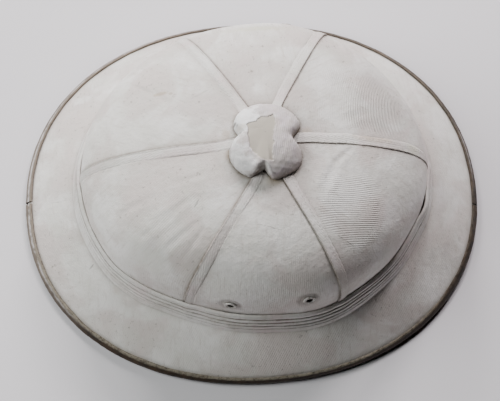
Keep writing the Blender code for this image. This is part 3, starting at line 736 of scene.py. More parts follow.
def makePanel(number):
    onTop = np.linspace(0, 1, panels["rows"])
    behind = np.linspace(1, hemStation, panels["hiddenRows"])[1:]
    station = np.concatenate([onTop, behind])[:, None]
    tuck = seams["width"] / 2 - panels["tuck"]
    first = seamAngle(number, station) + turnOf(number, station, tuck)
    last = seamAngle(number + 1, station) - turnOf(number + 1, station, tuck)
    last = last + 2 * math.pi * (last < first)
    share = np.linspace(0, 1, panels["columns"])[None, :]
    angle = first + (last - first) * share
    station = station + 0 * angle
    radius, height = bodyPlace(angle, station)
    points = toWorld(angle, radius, height)
    wide = radius * (last - first)
    fromFirst, fromLast = share * wide, (1 - share) * wide
    down = arcLengths(points)
    clothPlace = np.stack([(share - 0.5) * wide, down, 0 * down], -1)
    bold = strips["bold"][(number + 1) % 6]
    amount = -panels["sag"]["depth"] * bold * hump(fromLast, 0, panels["sag"]["width"])
    pucker = panels["pucker"]
    for edge, strength in ((fromFirst, 0.6), (fromLast, 1.0)):
        ripple = np.sin(2 * math.pi * down / pucker["pitch"] + 3 * waves(points, 0.03, number + 11))
        amount += pucker["height"] * strength * ripple * fade(edge, pucker["reach"])
    for lump in panels["lumps"]:
        amount += lump["height"] * waves(points, lump["size"], lump["seed"])
    for crease in np.array(panels["creases"]) * mm:
        start, end, width, depth = crease[:2], crease[2:4], crease[4], crease[5]
        run, here = end - start, points[..., :2] - start
        along = np.clip(here @ run / (run @ run), 0, 1)
        away = np.linalg.norm(here - along[..., None] * run, axis=-1) / width
        profile = 0.7 * hump(away, 1.3, 1) - hump(away, 0, 1)
        amount += depth * profile * (0.35 + 0.65 * np.sin(math.pi * along))
    near = fromEyelets(points)
    amount += sum(rise * mm * hump(near, away * mm, width * mm)
                  for rise, away, width in panels["roundEyelets"])
    points = lift(points, amount)
    # Painted shade: a dark line by each seam's sharp edge, darker beside the seams and just above the band,
    # and a contact shadow at the cap's rim. A dirt halo round the cap, and darker in a ring round each
    # eyelet.
    dirtAndShade = 1.6 * bold * fade(fromLast - panels["tuck"], 0.5 * mm) + 0.25 * fade(fromLast, 4 * mm)
    dirtAndShade += 0.3 * fade(fromFirst, 2.2 * mm) + 0.3 * fade(height - crown["bandTop"], 1.6 * mm)
    dirtAndShade += 0.45 * hump(near, 6.0 * mm, 2.4 * mm)
    besideCap = radius - capRim(angle)
    dirtAndShade += 0.4 * fade(besideCap, 4.5 * mm) + 0.9 * fade(besideCap, 0.9 * mm)
    rib = panels["ribs"][number]
    fromPatch = np.hypot(points[..., 0] - rib["x"] * mm, points[..., 1] - rib["y"] * mm) / (rib["reach"] * mm)
    ribbed = 1 - ramp(fromPatch + 0.25 * waves(points, 0.03, 41), 0.6, 1.15)
    marks = clothMarks(clothPlace, dirtAndShade, ribbed=ribbed)
    panel = gridMesh(f"crown_panel_{number + 1}_drill", openEyelets(points), marks=marks,
                     drop=fromEyelets(points) < eyelets["cut"])
    thicken(panel, helmet["cloth"])
    look = dict(cloth, turn=rib["turn"], ribs=rib["all"], ribPatch=rib["patch"])
    material = makeCloth(f"drill of panel {number + 1}", look, crownMarks[number])
    place(panel, "cloth", material, f"crown_panel_{number + 1}")


for number in range(6):
    makePanel(number)
print("Crown panels are made")


# Felled seams

seamCloth = dict(cloth, turn=0.3, ribs=0.2, soilSize=18 * mm, soilCover=0.55, soilStrength=0.4)


def stitchMesh(name, centres, alongs, ups, length, radius):
    rings = [  # place along the stitch, thickness and rise
        (-0.5, 0.35, -0.9), (-0.36, 0.9, 0.1), (-0.12, 1.0, 0.5),
        (0.12, 1.0, 0.5), (0.36, 0.9, 0.1), (0.5, 0.35, -0.9),
    ]
    sides = 6
    turn = np.arange(sides) * 2 * math.pi / sides
    asides = np.cross(alongs, ups)
    points = []
    for at, thick, raised in rings:
        middle = centres + alongs * length * at + ups * radius * raised
        ring = [middle + (asides * math.cos(t) + ups * math.sin(t)) * radius * thick for t in turn]
        points.append(np.stack(ring, 1))
    points = np.stack(points, 1).reshape(-1, 3)
    faces = []
    perStitch = len(rings) * sides
    for base in range(0, len(points), perStitch):
        for ring in range(len(rings) - 1):
            for side in range(sides):
                a, b = base + ring * sides + side, base + ring * sides + (side + 1) % sides
                faces.append((a, b, b + sides, a + sides))
        faces.append(tuple(base + side for side in reversed(range(sides))))
        faces.append(tuple(base + perStitch - sides + side for side in range(sides)))
    mesh = bpy.data.meshes.new(name)
    mesh.from_pydata(points.tolist(), [], faces)
    mesh.shade_smooth()
    return addObject(name, mesh)


def alongLine(line, ups, pitch):  # places every pitch along a line, with directions
    length = arcLengths(line)

    def at(places, values):
        return np.stack([np.interp(places, length, values[:, i]) for i in range(3)], 1)

    places = np.arange(pitch / 2, length[-1], pitch)
    alongs = at(places + pitch * 0.1, line) - at(places - pitch * 0.1, line)
    normals = at(places, ups)
    alongs, normals = (values / np.linalg.norm(values, axis=1, keepdims=True) for values in (alongs, normals))
    return at(places, line), alongs, normals


def makeThread(name, colour, dark):
    material, tree, here = startMaterial(name)
    thread = mixColour(tree, noiseNode(tree, here, 500.0, 3.0), colour, dark)
    twist = addNode(tree, "TexWave", {"Vector": here, "Scale": 900.0, "Distortion": 2.0},
                    bands_direction="DIAGONAL")
    finishMaterial(tree, {"Base Color": thread, "Roughness": 0.85}, twist.outputs["Fac"])
    return material


seamMaterial = makeCloth("felled seam cloth", seamCloth, seamMarks)
seamThread = makeThread("seam thread", (0.78, 0.76, 0.72, 1), (0.60, 0.57, 0.52, 1))


def makeStrip(number):
    station = np.linspace(0, hemStation, strips["rows"])[:, None]
    across, up = np.array(strips["section"]).T[:, None, :] * mm
    up = np.where((up > 0) & (across < 0), up * (0.4 + 0.6 * strips["bold"][number]), up)
    centreAngle = seamAngle(number, station)
    radius, height = bodyPlace(centreAngle, station)
    centre = toWorld(centreAngle, radius, height)[:, 0]
    sway = waves(centre, 0.022, 31 + number)[:, None]
    across = across + np.where(across < 0, 0.22 * mm, 0.3 * mm) * sway
    angle = centreAngle + np.arcsin(np.clip(across / radius, -0.9, 0.9))
    surfaceRadius, surfaceHeight = bodyPlace(angle, station + 0 * angle)
    surface = toWorld(angle, surfaceRadius, surfaceHeight)
    aside = centreAngle + np.array([[-0.01, 0.0, 0.01]])
    sideRadius, sideHeight = bodyPlace(aside, station + 0 * aside)
    normal = gridNormals(toWorld(aside, sideRadius, sideHeight))[:, 1]
    down = arcLengths(surface[:, :1])
    stitching = 0.5 + 0.5 * np.cos(2 * math.pi * down / strips["pitch"])
    for row in strips["stitch"]["rows"]:
        up = up - 0.07 * mm * stitching * hump(across, row * mm, 0.35 * mm) * (up > 0)
    up = np.where(up > 0, up * (1 + 0.14 * waves(centre, 0.013, 51 + number)[:, None]), up)
    points = surface + normal[:, None, :] * up[..., None]
    clothPlace = np.stack([across + 0 * down, down + 0 * across, 0 * across + 0 * down], -1)
    # Painted shade in the crevice by the sharp edge and along the lower edge; a dark line along one stitch
    # row, and darker towards the band.
    dirtAndShade = strips["bold"][number] * hump(across, strips["shadedCrevice"]["across"], strips["shadedCrevice"]["width"])
    for dark, at, width in strips["darkLines"]:
        dirtAndShade = dirtAndShade + dark * hump(across, at * mm, width * mm)
    dirtAndShade = dirtAndShade + 0.15 * ramp(down, 0.06, 0.13)
    strip = gridMesh(f"felled_seam_{number + 1}", points, closed=True, marks=clothMarks(clothPlace, dirtAndShade))
    place(strip, "seam", seamMaterial, f"seam_strip_{number + 1}")
    for side, at in enumerate(strips["stitch"]["rows"]):
        column = int(np.argmin(np.abs(across[0] / mm - at) + 9 * (up[0] < 0)))
        visible = slice(18, int(strips["rows"] / hemStation) + 1)
        line = points[visible, column] + normal[visible] * 0.03 * mm
        centres, alongs, ups = alongLine(line, normal[visible], strips["pitch"])
        thread = stitchMesh(f"seam_{number + 1}_stitches_{side + 1}", centres, alongs, ups,
                            strips["stitch"]["length"], strips["stitch"]["radius"])
        place(thread, "seam", seamThread, f"seam_strip_{number + 1}")


for number in range(6):
    makeStrip(number)
print("Felled seams are made")


# Brim cloth

binding = {
    "columns": 460, "joint": 1.0 * mm, "wideJoint": 1.9 * mm, "rightJoint": -5.3, "leftJoint": 178.2,
    "leg": 2.5 * mm, "longer": [  # how much further in the leather reaches than on the far side
        {"angle": 180.0, "width": 50.0, "out": 1.8 * mm}, {"angle": 240.0, "width": 20.0, "out": 0.5 * mm},
        {"angle": 0.0, "width": 45.0, "out": 1.2 * mm},
    ],
    # The lighter brown is painted light on the left and far sides.
    "brown": (0.060, 0.036, 0.020, 1), "dark": (0.014, 0.009, 0.006, 1), "paintedLitSide": (0.21, 0.170, 0.135, 1),
    "worn": (0.36, 0.32, 0.25, 1), "chalk": (0.66, 0.62, 0.61, 1),
}
brimCloth = {
    "columns": 640, "rows": 34, "from": 2 + 2 * brim["coverHem"] / (helmet["length"] - crown["length"]),
}


def makeBrimCloth():
    angle = fullTurn(brimCloth["columns"])[None, :]
    station = np.linspace(brimCloth["from"], 3.0, brimCloth["rows"])[:, None] + 0 * angle
    angle = angle + 0 * station
    radius, height = bodyPlace(angle, station)
    points = toWorld(angle, radius, height)
    share = station - 2
    amount = 0.22 * mm * waves(points, 0.035, 71) * ramp(share, 0.1, 0.4)
    amount += 0.07 * mm * waves(points, 0.011, 72)
    radial = np.stack([angle * 0.12 / 0.006, share * 0.6, 0 * angle], -1)
    amount += 0.08 * mm * waves(radial * 0.01, 0.02, 73) * ramp(share, 0.55, 0.95)
    amount *= 1 - ramp(share, 0.9, 0.97) * 0.8
    points = lift(points, amount - 0.02 * mm, closed=True)
    turnOver = np.linspace(math.pi / 2, -1.2, 9)[1:, None]
    slope, edge = brimLine(angle[0])[3], edgeReach(angle[0])
    out, up = brimStack / 2 * np.cos(turnOver), brimStack / 2 * np.sin(turnOver)
    wrapped = toWorld(angle[:1] + 0 * turnOver, edge + out * np.cos(slope) + up * np.sin(slope),
                      edgeHeight - out * np.sin(slope) + up * np.cos(slope))
    points = np.concatenate([points, wrapped])
    share = np.concatenate([share, 1 + 0 * wrapped[..., 0]])
    width = np.linalg.norm(points[-1] - points[0], axis=-1)
    inEdge = (1 - share) * width
    leg = binding["leg"] + bumps(angle[0], binding["longer"])
    # Painted shade: a dark line along the leather's inner edge, and darker on the brim just below the pleated
    # band.
    dirtAndShade = 0.55 * fade(inEdge - leg - 0.5 * mm, 0.7 * mm) * (share < 1)
    dirtAndShade += 0.8 * fade(share * width - 7 * mm, 1.6 * mm)
    cover = gridMesh("brim_drill", points, closed=True, marks=clothMarks(flatPlace(points), dirtAndShade))
    thicken(cover, helmet["cloth"])
    material = makeCloth("drill of the brim", dict(cloth, turn=0.6, ribs=0.25), brimMarks)
    place(cover, "cloth", material, "brim_cover")


makeBrimCloth()
print("Brim cloth is made")


# Pleated band

band = {
    "columns": 720, "lip": 1.8 * mm, "spread": 5.2 * mm, "rise": 0.9 * mm, "faceSteps": 56,
    "pleats": [  # where each fold lies down the face, and how proud it stands towards each side
        {"at": 0.00, "near": 1.0, "left": 0.9, "right": 1.0, "far": 0.9},
        {"at": 0.22, "near": 1.0, "left": 0.8, "right": 0.25, "far": 0.7},
        {"at": 0.43, "near": 1.0, "left": 0.45, "right": 0.75, "far": 0.6},
        {"at": 0.63, "near": 0.9, "left": 0.25, "right": 0.15, "far": 0.5},
        {"at": 0.82, "near": 0.6, "left": 0.15, "right": 0.25, "far": 0.3},
    ],
    "gaps": [{"angle": 173.0, "width": 5.0, "out": 0.7 * mm}, {"angle": -14.0, "width": 4.0, "out": 1.4 * mm},
             {"angle": 235.0, "width": 4.0, "out": 0.4 * mm}],
}
bandCloth = dict(cloth, turn=1.2, ribs=0.2, soilSize=25 * mm, soilCover=0.5, pitch=1.2 * mm)


def makeBand():
    angle = fullTurn(band["columns"])
    sides = {"right": 0, "far": 90, "left": 180, "near": 270}
    weights = {side: np.maximum(np.cos(angle - math.radians(at)), 0) ** 2 for side, at in sides.items()}
    ring = toWorld(angle, 0.11 + 0 * angle, 0.05)
    reach = crownReach(angle)
    gap = bumps(angle, band["gaps"]) + 0.14 * mm * np.maximum(waves(ring, 0.03, 80), -0.4)
    overSeams = sum(hump(awayFrom(angle, row["angle"]), 0, 2.2) for row in seams["rows"])
    inner = reach + 0.12 * mm + 0.55 * mm * overSeams + gap
    top = np.stack([inner + band["lip"], crown["bandTop"] + 0.25 * mm * waves(ring, 0.04, 81)])
    start, end, _, slope = brimLine(angle)
    brimOut = np.stack([np.cos(slope), -np.sin(slope)])
    brimUp = np.stack([np.sin(slope), np.cos(slope)])
    spread = crown["wallFlare"] + band["spread"] + 0.35 * mm * waves(ring, 0.03, 82)
    foot = np.array(brimPlace(angle, spread / (end - start))) + helmet["clearance"] * brimUp
    down = foot - top
    down = down / np.linalg.norm(down, axis=0)
    out = np.stack([-down[1], down[0]])
    starts = [0 * angle + pleat["at"] for pleat in band["pleats"]] + [1 + 0 * angle]
    for i in range(1, len(band["pleats"])):
        starts[i] += 0.022 * waves(ring, 0.05, 83 + i)
    strengths = [sum(pleat[side] * weights[side] for side in sides) for pleat in band["pleats"]]
    strengths.append(0 * angle)
    # Painted shade in the pleats' crevices, on the lip's inner side and at the foot, and dark over the hidden
    # parts.
    section, creviceShade = [], []

    def add(point, shadedCrevice=0.0):
        section.append(point)
        creviceShade.append(shadedCrevice + 0 * angle)

    add(np.stack([reach + seams["rise"] + helmet["clearance"], crown["bandTop"] - 7 * mm + 0 * angle]), 1.0)
    add(np.stack([inner, top[1] - 3 * mm]), 1.0)
    for turn in np.linspace(math.pi, 0.25, 9):
        across, raised = math.cos(turn), math.sin(turn)
        middle = np.stack([inner + band["lip"] / 2, top[1] - 0.35 * mm])
        add(middle + np.stack([band["lip"] / 2 * across + 0 * angle, 0.75 * mm * raised + 0 * angle]),
            max(-across, 0) * 0.6)
    for step in np.linspace(0.03, 1, band["faceSteps"]):
        proud, dark = 0 * angle, 0 * angle
        for i in range(len(band["pleats"])):
            within = (step - starts[i]) / np.maximum(starts[i + 1] - starts[i], 0.02)
            inside = (within >= 0) & (within < 1)
            x = np.clip(within, 0, 1)
            rise = 0.55 + 0.45 * hump(x, 0.08, 0.16) - 0.35 * x
            nextStrength = strengths[i + 1]
            rise = rise * strengths[i] - ramp(x, 0.72, 0.92) * 0.75 * nextStrength
            rise = rise + ramp(x, 0.93, 1.0) * (1.3 * nextStrength)
            proud = np.where(inside, rise, proud)
            # Painted shade, deepest in the crevice under each proud fold.
            deep = nextStrength * ramp(x, 0.7, 0.9) * (1 - 0.4 * ramp(x, 0.95, 1.0))
            dark = np.where(inside, deep, dark)
        proud = proud * (1 - ramp(step, 0.9, 1.0)) * band["rise"]
        face = top + (foot - top) * step
        soft = 0.12 * mm * waves(toWorld(angle, face[0], face[1]), 0.012, 88)
        add(face + out * (proud + soft * (1 - ramp(step, 0.85, 1))), dark)
    add(foot + brimOut * 0.9 * mm - brimUp * 0.22 * mm, 0.6)
    add(foot + brimOut * 1.5 * mm - brimUp * 0.6 * mm, 0.9)
    add(np.stack([start + seams["rise"], crown["joinHeight"] - 0.2 * mm + 0 * angle]), 1.0)
    points = np.array([toWorld(angle, radius, height) for radius, height in section])
    around = np.cumsum(np.linalg.norm(np.roll(ring, -1, 0) - ring, axis=-1))[None, :]
    downs = arcLengths(points)
    clothPlace = np.stack([around + 0 * downs, downs, 0 * downs], -1)
    belt = gridMesh("pleated_band", points, closed=True, tube=True, marks=clothMarks(clothPlace, creviceShade))
    place(belt, "band", makeCloth("pleated cloth", bandCloth), "pugaree_band")


makeBand()
print("Pleated band is made")


# Leather binding

def makeLeather(name):
    material, tree, here = startMaterial(name)
    grain = useGroup(tree, leatherGroup, Place=here, Size=0.9 * mm)
    wear, pale, paintedLitSide = (attributeOf(tree, key) for key in ("wear", "pale", "paintedLitSide"))
    patch, fine = noiseNode(tree, here, 120.0, 5.0, 0.65), noiseNode(tree, here, 420.0, 4.0, 0.7)
    streaks = rampNode(tree, noiseNode(tree, here, 90.0, 5.0, 0.65), 0.36, 0.56)
    # Painted light: the leather is lighter brown on the left and far sides, where the light falls.
    litSide = times(tree, paintedLitSide, rampNode(tree, patch, 0.2, 0.6, 0.55, 1.0))
    rubbed = times(tree, wear, rampNode(tree, fine, 0.25, 0.6), clamp=True)
    chalk = times(tree, streaks, rampNode(tree, fine, 0.2, 0.5, 0.6, 1.0), pale, clamp=True)
    colour = mixColour(tree, rampNode(tree, patch, 0.3, 0.7), binding["dark"], binding["brown"])
    creases = times(tree, grain["Creases"], 0.18)
    for key, mask in {"paintedLitSide": litSide, "worn": rubbed, "chalk": chalk, "dark": creases}.items():
        colour = mixColour(tree, mask, colour, binding[key])
    rough = scaleAdd(tree, calc(tree, "MAXIMUM", rubbed, chalk), 0.35, 0.5)
    surface = {"Base Color": colour, "Roughness": rough, "Specular IOR Level": 0.3}
    finishMaterial(tree, surface, grain["Height"], 0.5, 0.2 * mm)
    return material


leather = makeLeather("worn brown leather")


def makeBinding(name, node, first, last, firstGap, lastGap, seed):
    ends = np.radians(np.array([first, last]))
    ends += np.array([firstGap, -lastGap]) / 2 / edgeReach(ends)
    angle = np.linspace(ends[0], ends[1], binding["columns"])
    slope, edge = brimLine(angle)[3], edgeReach(angle)
    leg = binding["leg"] + bumps(angle, binding["longer"])
    outer, inner = bindingOuter, bindingInner
    rise = 0.06 * (leg - 2.5 * mm)  # the brim's curve lifts the far end of a long leg
    section = [(-leg + 0.1 * mm, inner + rise), (-leg - 0.25 * mm, inner + 0.25 * mm + rise),
               (-leg - 0.3 * mm, inner + 0.7 * mm + rise), (-leg - 0.1 * mm, outer - 0.15 * mm + rise),
               (-leg + 0.25 * mm, outer + rise)]
    section += [(-leg * (1 - t), outer + rise * (1 - t) + 0.12 * mm * math.sin(math.pi * t))
                for t in np.linspace(0.12, 0.9, 9)]
    topCount = len(section)
    halfTurn = math.pi / 2
    section += [(outer * math.cos(t), outer * math.sin(t)) for t in np.linspace(halfTurn, -halfTurn, 22)]
    short = binding["leg"]
    section += [(-short * t, -outer) for t in (0.35, 0.7)]
    section += [(-short + 0.2 * mm, -outer), (-short - 0.15 * mm, -outer + 0.3 * mm),
                (-short - 0.15 * mm, -inner - 0.2 * mm), (-short + 0.1 * mm, -inner)]
    section += [(inner * math.cos(t), inner * math.sin(t)) for t in np.linspace(-halfTurn, halfTurn, 9)]
    around = angle * 0.15
    left = ramp(np.cos(angle - math.radians(158)), 0.45, 0.9)
    near = ramp(np.cos(angle - math.radians(250)), 0.1, 0.8)
    right = ramp(np.cos(angle), 0.3, 0.9)
    upper = ramp(np.cos(angle - math.radians(70)), 0.6, 0.95)
    upperRight = hump(awayFrom(angle, 0), 10, 7)
    rows, marks = [], {"wear": [], "pale": [], "paintedLitSide": []}
    for i, (a, n) in enumerate(section):
        a, n = a + 0 * angle, n + 0 * angle
        wrinkle = waves(np.stack([around, 0 * angle + i * 0.35 * mm, 0 * angle], -1), 0.0045, seed)
        swell = waves(np.stack([around, 0 * angle, 0 * angle], -1), 0.016, seed + 1)
        grow = (0.07 * mm * wrinkle + 0.10 * mm * swell) * (4 <= i < topCount + 26)
        size = np.maximum(np.hypot(np.maximum(a, 0), n), 1e-6)
        swayed = a + grow * np.maximum(a, 0) / size + np.where(a < -0.6 * leg, 0.3 * mm * swell, 0)
        raised = n + grow * n / size
        out = swayed * np.cos(slope) + raised * np.sin(slope)
        up = np.maximum(-swayed * np.sin(slope) + raised * np.cos(slope), -edgeHeight + 0.05 * mm)
        rows.append(toWorld(angle, edge + out, edgeHeight + up))
        onTop = 1.0 * (n > 0)
        across = a / leg + 0.10 * wrinkle + 0.08 * swell
        marks["pale"].append(onTop * hump(across, -0.42, 0.20) * (left + 0.8 * upperRight))
        marks["wear"].append(onTop * (1 - ramp(across, -0.75, -0.30)) * (0.75 * near + 0.12 * right + 0.08))
        # Painted light: lighter brown on the left and far sides.
        marks["paintedLitSide"].append((left + 0.35 * upper) * (0.95 - 0.25 * ramp(across, 0.2, 1.0)))
    points = np.array(rows)
    marks = {key: np.array(values)[::-1].copy() for key, values in marks.items()}
    place(gridMesh(name, points[::-1].copy(), tube=True, marks=marks), "leather", leather, node)


makeBinding("leather_far_half", "brim_binding_far", binding["rightJoint"], binding["leftJoint"],
            binding["joint"], binding["wideJoint"], 91)
makeBinding("leather_near_half", "brim_binding_near", binding["leftJoint"], binding["rightJoint"] + 360,
            binding["wideJoint"], binding["joint"], 95)
print("Leather binding is made")


# Ventilator cap

capCloth = dict(
    cloth, colour=(0.66, 0.605, 0.615, 1), tint=(0.50, 0.47, 0.44, 1), rosy=(0.70, 0.61, 0.63, 1), turn=0.2,
    ribs=0.25, soilSize=7 * mm, soilCover=0.8, soilStrength=0.55, pitch=1.3 * mm, rosyStrength=0.9,
    core=(0.53, 0.48, 0.405, 1), coreShade=(0.46, 0.42, 0.36, 1),
)
capSpots = [  # x, y, z and reach along each in mm, colour, strength, softness, raggedness
    (-12.5, 9, 132, 19, 19, 22, "white", 1.0, 0.5, 0.75),
    (-13, -21, 130, 13, 15, 20, "white", 0.85, 0.6, 0.9),
    (4, -27, 130, 9, 5, 20, "white", 0.45, 0.7, 0.9),
    (-11.8, 2.2, 134, 7, 3.5, 12, "beige", 0.35, 0.8, 0.3),
    (-20, 10, 132, 4, 5, 12, "beige", 0.18, 0.8, 0.3),
    (12.5, 4, 137, 3.5, 5, 10, "beige", 0.25, 0.8, 0.9),
    (8.5, -27.3, 125, 1.6, 1.3, 5, "dark", 0.85, 0.5, 0.2),
    # The three dark spots low by the left notch are painted shade in it.
    (-16.8, 9.2, 125, 2.0, 1.5, 9, "dark", 0.60, 0.7, 0.3),
    (-15, 7, 126, 2.0, 1.6, 9, "dark", 0.75, 0.7, 0.3),
    (-13.4, 4.8, 127, 1.6, 1.7, 9, "dark", 0.75, 0.7, 0.3),
    (3, -22.6, 125, 2.8, 1.3, 8, "dark", 0.85, 0.6, 0.3),
]
mottle = np.random.default_rng(24)
for colour, strength in [("mauve", 0.45), ("lilac", 0.6), ("white", 0.35)] * 7:
    x, y, reach = mottle.uniform(8, 26), mottle.uniform(-25, 17), mottle.uniform(1.6, 4.5)
    capSpots.append((x, y, 130, reach, 0.8 * reach, 14, colour, strength, 0.8, 0.9))
capMarks = [spotMark(tuple(value * mm for value in row[:3]), row[3:6], *row[6:]) for row in capSpots]
capPatch = {"depth": 0.35 * mm, "corners": [  # round the place where the cloth is worn through, in mm
    (-7.4, 3.2), (-5.3, 4.2), (-1.2, 5.7), (-0.4, 7.2), (3.1, 8.4), (7.1, 8.2), (10.6, 9.6), (11.6, 6.5),
    (10.5, 0.0), (9.0, -12.2), (8.4, -22.6), (3.5, -22.8), (-1.0, -20.6), (-4.1, -17.2), (-6.5, -13.5),
    (-7.0, -6.3),
]}


def fromOutline(x, y, corners):  # distance to a closed outline, below 0 inside it
    nearest, inside = np.full(x.shape, 1.0), np.zeros(x.shape, bool)
    for (startX, startY), (endX, endY) in zip(corners, corners[1:] + corners[:1]):
        runX, runY = (endX - startX) * mm, (endY - startY) * mm
        hereX, hereY = x - startX * mm, y - startY * mm
        along = np.clip((hereX * runX + hereY * runY) / (runX**2 + runY**2), 0, 1)
        nearest = np.minimum(nearest, np.hypot(hereX - along * runX, hereY - along * runY))
        if runY:
            inside ^= ((startY * mm > y) != (endY * mm > y)) & (hereX < hereY * runX / runY)
    return np.where(inside, -nearest, nearest)


def makeCap():
    angle = fullTurn(cap["columns"])
    rim = capRim(angle)
    bite, steep = capBite(angle)
    seat = seams["rise"] + cap["seat"]
    rows, dirtAndShade = [], []
    for ring in range(cap["rings"] + 1):
        share = math.sin(max(ring, 0.05) / cap["rings"] * math.pi / 2) ** (2 / cap["roundness"])
        radius = rim * share
        dome = cap["height"] * np.sqrt(np.maximum(1 - share ** (cap["roundness"] + steep), 0))
        rows.append(toWorld(angle, radius, crownHeight(angle, radius) + seat + dome))
        # Painted shade in the notches and along the rim.
        dark = sum(row["dark"] * share ** row["power"] * hump(np.degrees(angle), row["angle"], row["width"])
                   for row in cap["creviceShade"])
        dirtAndShade.append(bite * 4.5 * share**16 + 0.8 * share**60 + dark)
    top = np.array(rows)
    amount = lumps(top, cap["lumps"]) * ramp(np.arange(len(top)), 2, 9)[:, None]
    edge = fromOutline(top[..., 0], top[..., 1], capPatch["corners"])
    edge = edge + 0.5 * mm * waves(top, 0.007, 103) + 0.25 * mm * waves(top, 0.0025, 104)
    patch = 1 - ramp(edge, -0.25 * mm, 0.25 * mm)
    amount = amount * (1 - 0.8 * patch) - capPatch["depth"] * patch
    amount = amount + 0.16 * mm * hump(edge, 0.9 * mm, 0.6 * mm)
    top = lift(top, amount, closed=True)
    rows = list(top)
    for share, raised in cap["under"]:
        radius = rim * share
        rows.append(toWorld(angle, radius, crownHeight(angle, radius) + seat + raised))
        # Painted shade under the cap.
        dirtAndShade.append(1.0 + 0 * angle)
    neckTop, neckFoot = crown["top"] + seat + cap["height"] - cap["underTop"], crown["top"] - cap["neck"]
    outer, inner = cap["neckOuter"], cap["neckOuter"] - cap["wall"]
    for radius, height in ((outer, neckTop), (outer, neckFoot), (inner, neckFoot), (inner, neckTop),
                           (0.1 * mm, neckTop)):
        rows.append(toWorld(angle, radius + 0 * angle, height))
        # Painted shade on the neck.
        dirtAndShade.append(0.6 + 0 * angle)
    points = np.array(rows)
    worn = np.zeros(points.shape[:2])
    worn[:len(patch)] = patch
    marks = clothMarks(flatPlace(points), dirtAndShade, patch=worn)
    obj = gridMesh("ventilator_cap", points, closed=True, marks=marks)
    place(obj, "cap", makeCloth("cap cloth", capCloth, capMarks), "vent_cap")


makeCap()
print("Ventilator cap is made")


# Eyelets

def makeMetal(name, paint, bare, inside=None):
    material, tree, here = startMaterial(name)
    chips = rampNode(tree, noiseNode(tree, here, 700.0, 5.0, 0.7), 0.52, 0.6)
    dull = noiseNode(tree, here, 260.0, 4.0, 0.6)
    colour = mixColour(tree, chips, paint, bare)
    colour = mixColour(tree, times(tree, rampNode(tree, dull, 0.4, 0.7), 0.5), colour, (0.12, 0.10, 0.08, 1))
    # Painted shade: dark inside the bore.
    if inside:
        colour = mixColour(tree, attributeOf(tree, "inside"), colour, inside)
    surface = {"Base Color": colour, "Metallic": times(tree, chips, 0.8),
               "Roughness": scaleAdd(tree, dull, 0.4, 0.35)}
    finishMaterial(tree, surface, dull, 0.4)
    return material


whitened = makeMetal("whitened eyelet metal", (0.62, 0.60, 0.57, 1), (0.38, 0.34, 0.28, 1),
                     inside=(0.035, 0.028, 0.022, 1))
tarnished = makeMetal("tarnished collar metal", (0.30, 0.27, 0.22, 1), (0.40, 0.33, 0.22, 1))


def makeEyelet(number, centre, direction):
    tail = -(clothDepth + helmet["pith"] + eyelets["tail"])
    bore, flange, rim, barrel = eyelets["bore"], eyelets["flange"], eyelets["rim"], eyelets["barrel"]
    base = helmet["clearance"]
    middle, half = (bore + flange) / 2, (flange - bore) / 2
    profile = [(bore, tail), (bore, base * 0.4)]
    profile += [(middle - half * math.cos(t), base + rim * math.sin(t) ** 0.8)
                for t in np.linspace(0.12, math.pi - 0.12, 16)]
    profile += [(flange, base - 0.1 * mm), (flange - 0.3 * mm, base - 0.25 * mm), (barrel, base - 0.25 * mm),
                (barrel, tail)]
    turn = fullTurn(eyelets["steps"])
    points = np.array([np.stack([radius * np.cos(turn), radius * np.sin(turn), height + 0 * turn], -1)
                       for radius, height in profile])
    points = lift(points, 0.05 * mm * waves(points, 0.004, 110 + number), closed=True)
    matrix = np.array(Matrix.Translation(centre) @ direction.to_track_quat("Z", "Y").to_matrix().to_4x4())
    points = points @ matrix[:3, :3].T + matrix[:3, 3]
    # Painted shade marks the bore's inside.
    inside = [0 * turn + (radius < bore + 0.35 * mm and height < base + 0.3 * mm)
              for radius, height in profile]
    obj = gridMesh(f"rolled_eyelet_{number}", points[::-1].copy(), closed=True, tube=True,
                   marks={"inside": np.array(inside)[::-1].copy()})
    place(obj, "metal", whitened, f"eyelet_{number}")


for number, (centre, direction) in enumerate(eyeletPlaces, 1):
    makeEyelet(number, centre, direction)
print("Eyelets are made")


# Pith shell

shell = {
    "crownRows": 70, "wallRows": 8, "brimRows": 24, "columns": 330, "underCloth": 0.12 * mm,
    "lumps": [{"size": 50 * mm, "height": 0.25 * mm, "seed": 121},
              {"size": 12 * mm, "height": 0.08 * mm, "seed": 122}],
}


def makePith():
    material, tree, here = startMaterial("bare pith")
    cells = addNode(tree, "TexVoronoi", {"Vector": here, "Scale": 480.0},
                    feature="DISTANCE_TO_EDGE").outputs[0]
    cloud = rampNode(tree, noiseNode(tree, here, 28.0, 5.0, 0.6), 0.3, 0.7)
    pores = rampNode(tree, noiseNode(tree, here, 650.0, 3.0, 0.7), 0.60, 0.72)
    colour = mixColour(tree, cloud, (0.50, 0.41, 0.27, 1), (0.64, 0.56, 0.41, 1))
    colour = mixColour(tree, times(tree, pores, 0.5), colour, (0.22, 0.16, 0.09, 1))
    colour = mixColour(tree, rampNode(tree, cells, 0.0, 0.10, 0.35, 0.0), colour, (0.34, 0.26, 0.15, 1))
    height = scaleAdd(tree, pores, -0.6, times(tree, cells, 2.0))
    finishMaterial(tree, {"Base Color": colour, "Roughness": 0.92}, height, 0.6, 0.4 * mm)
    return material


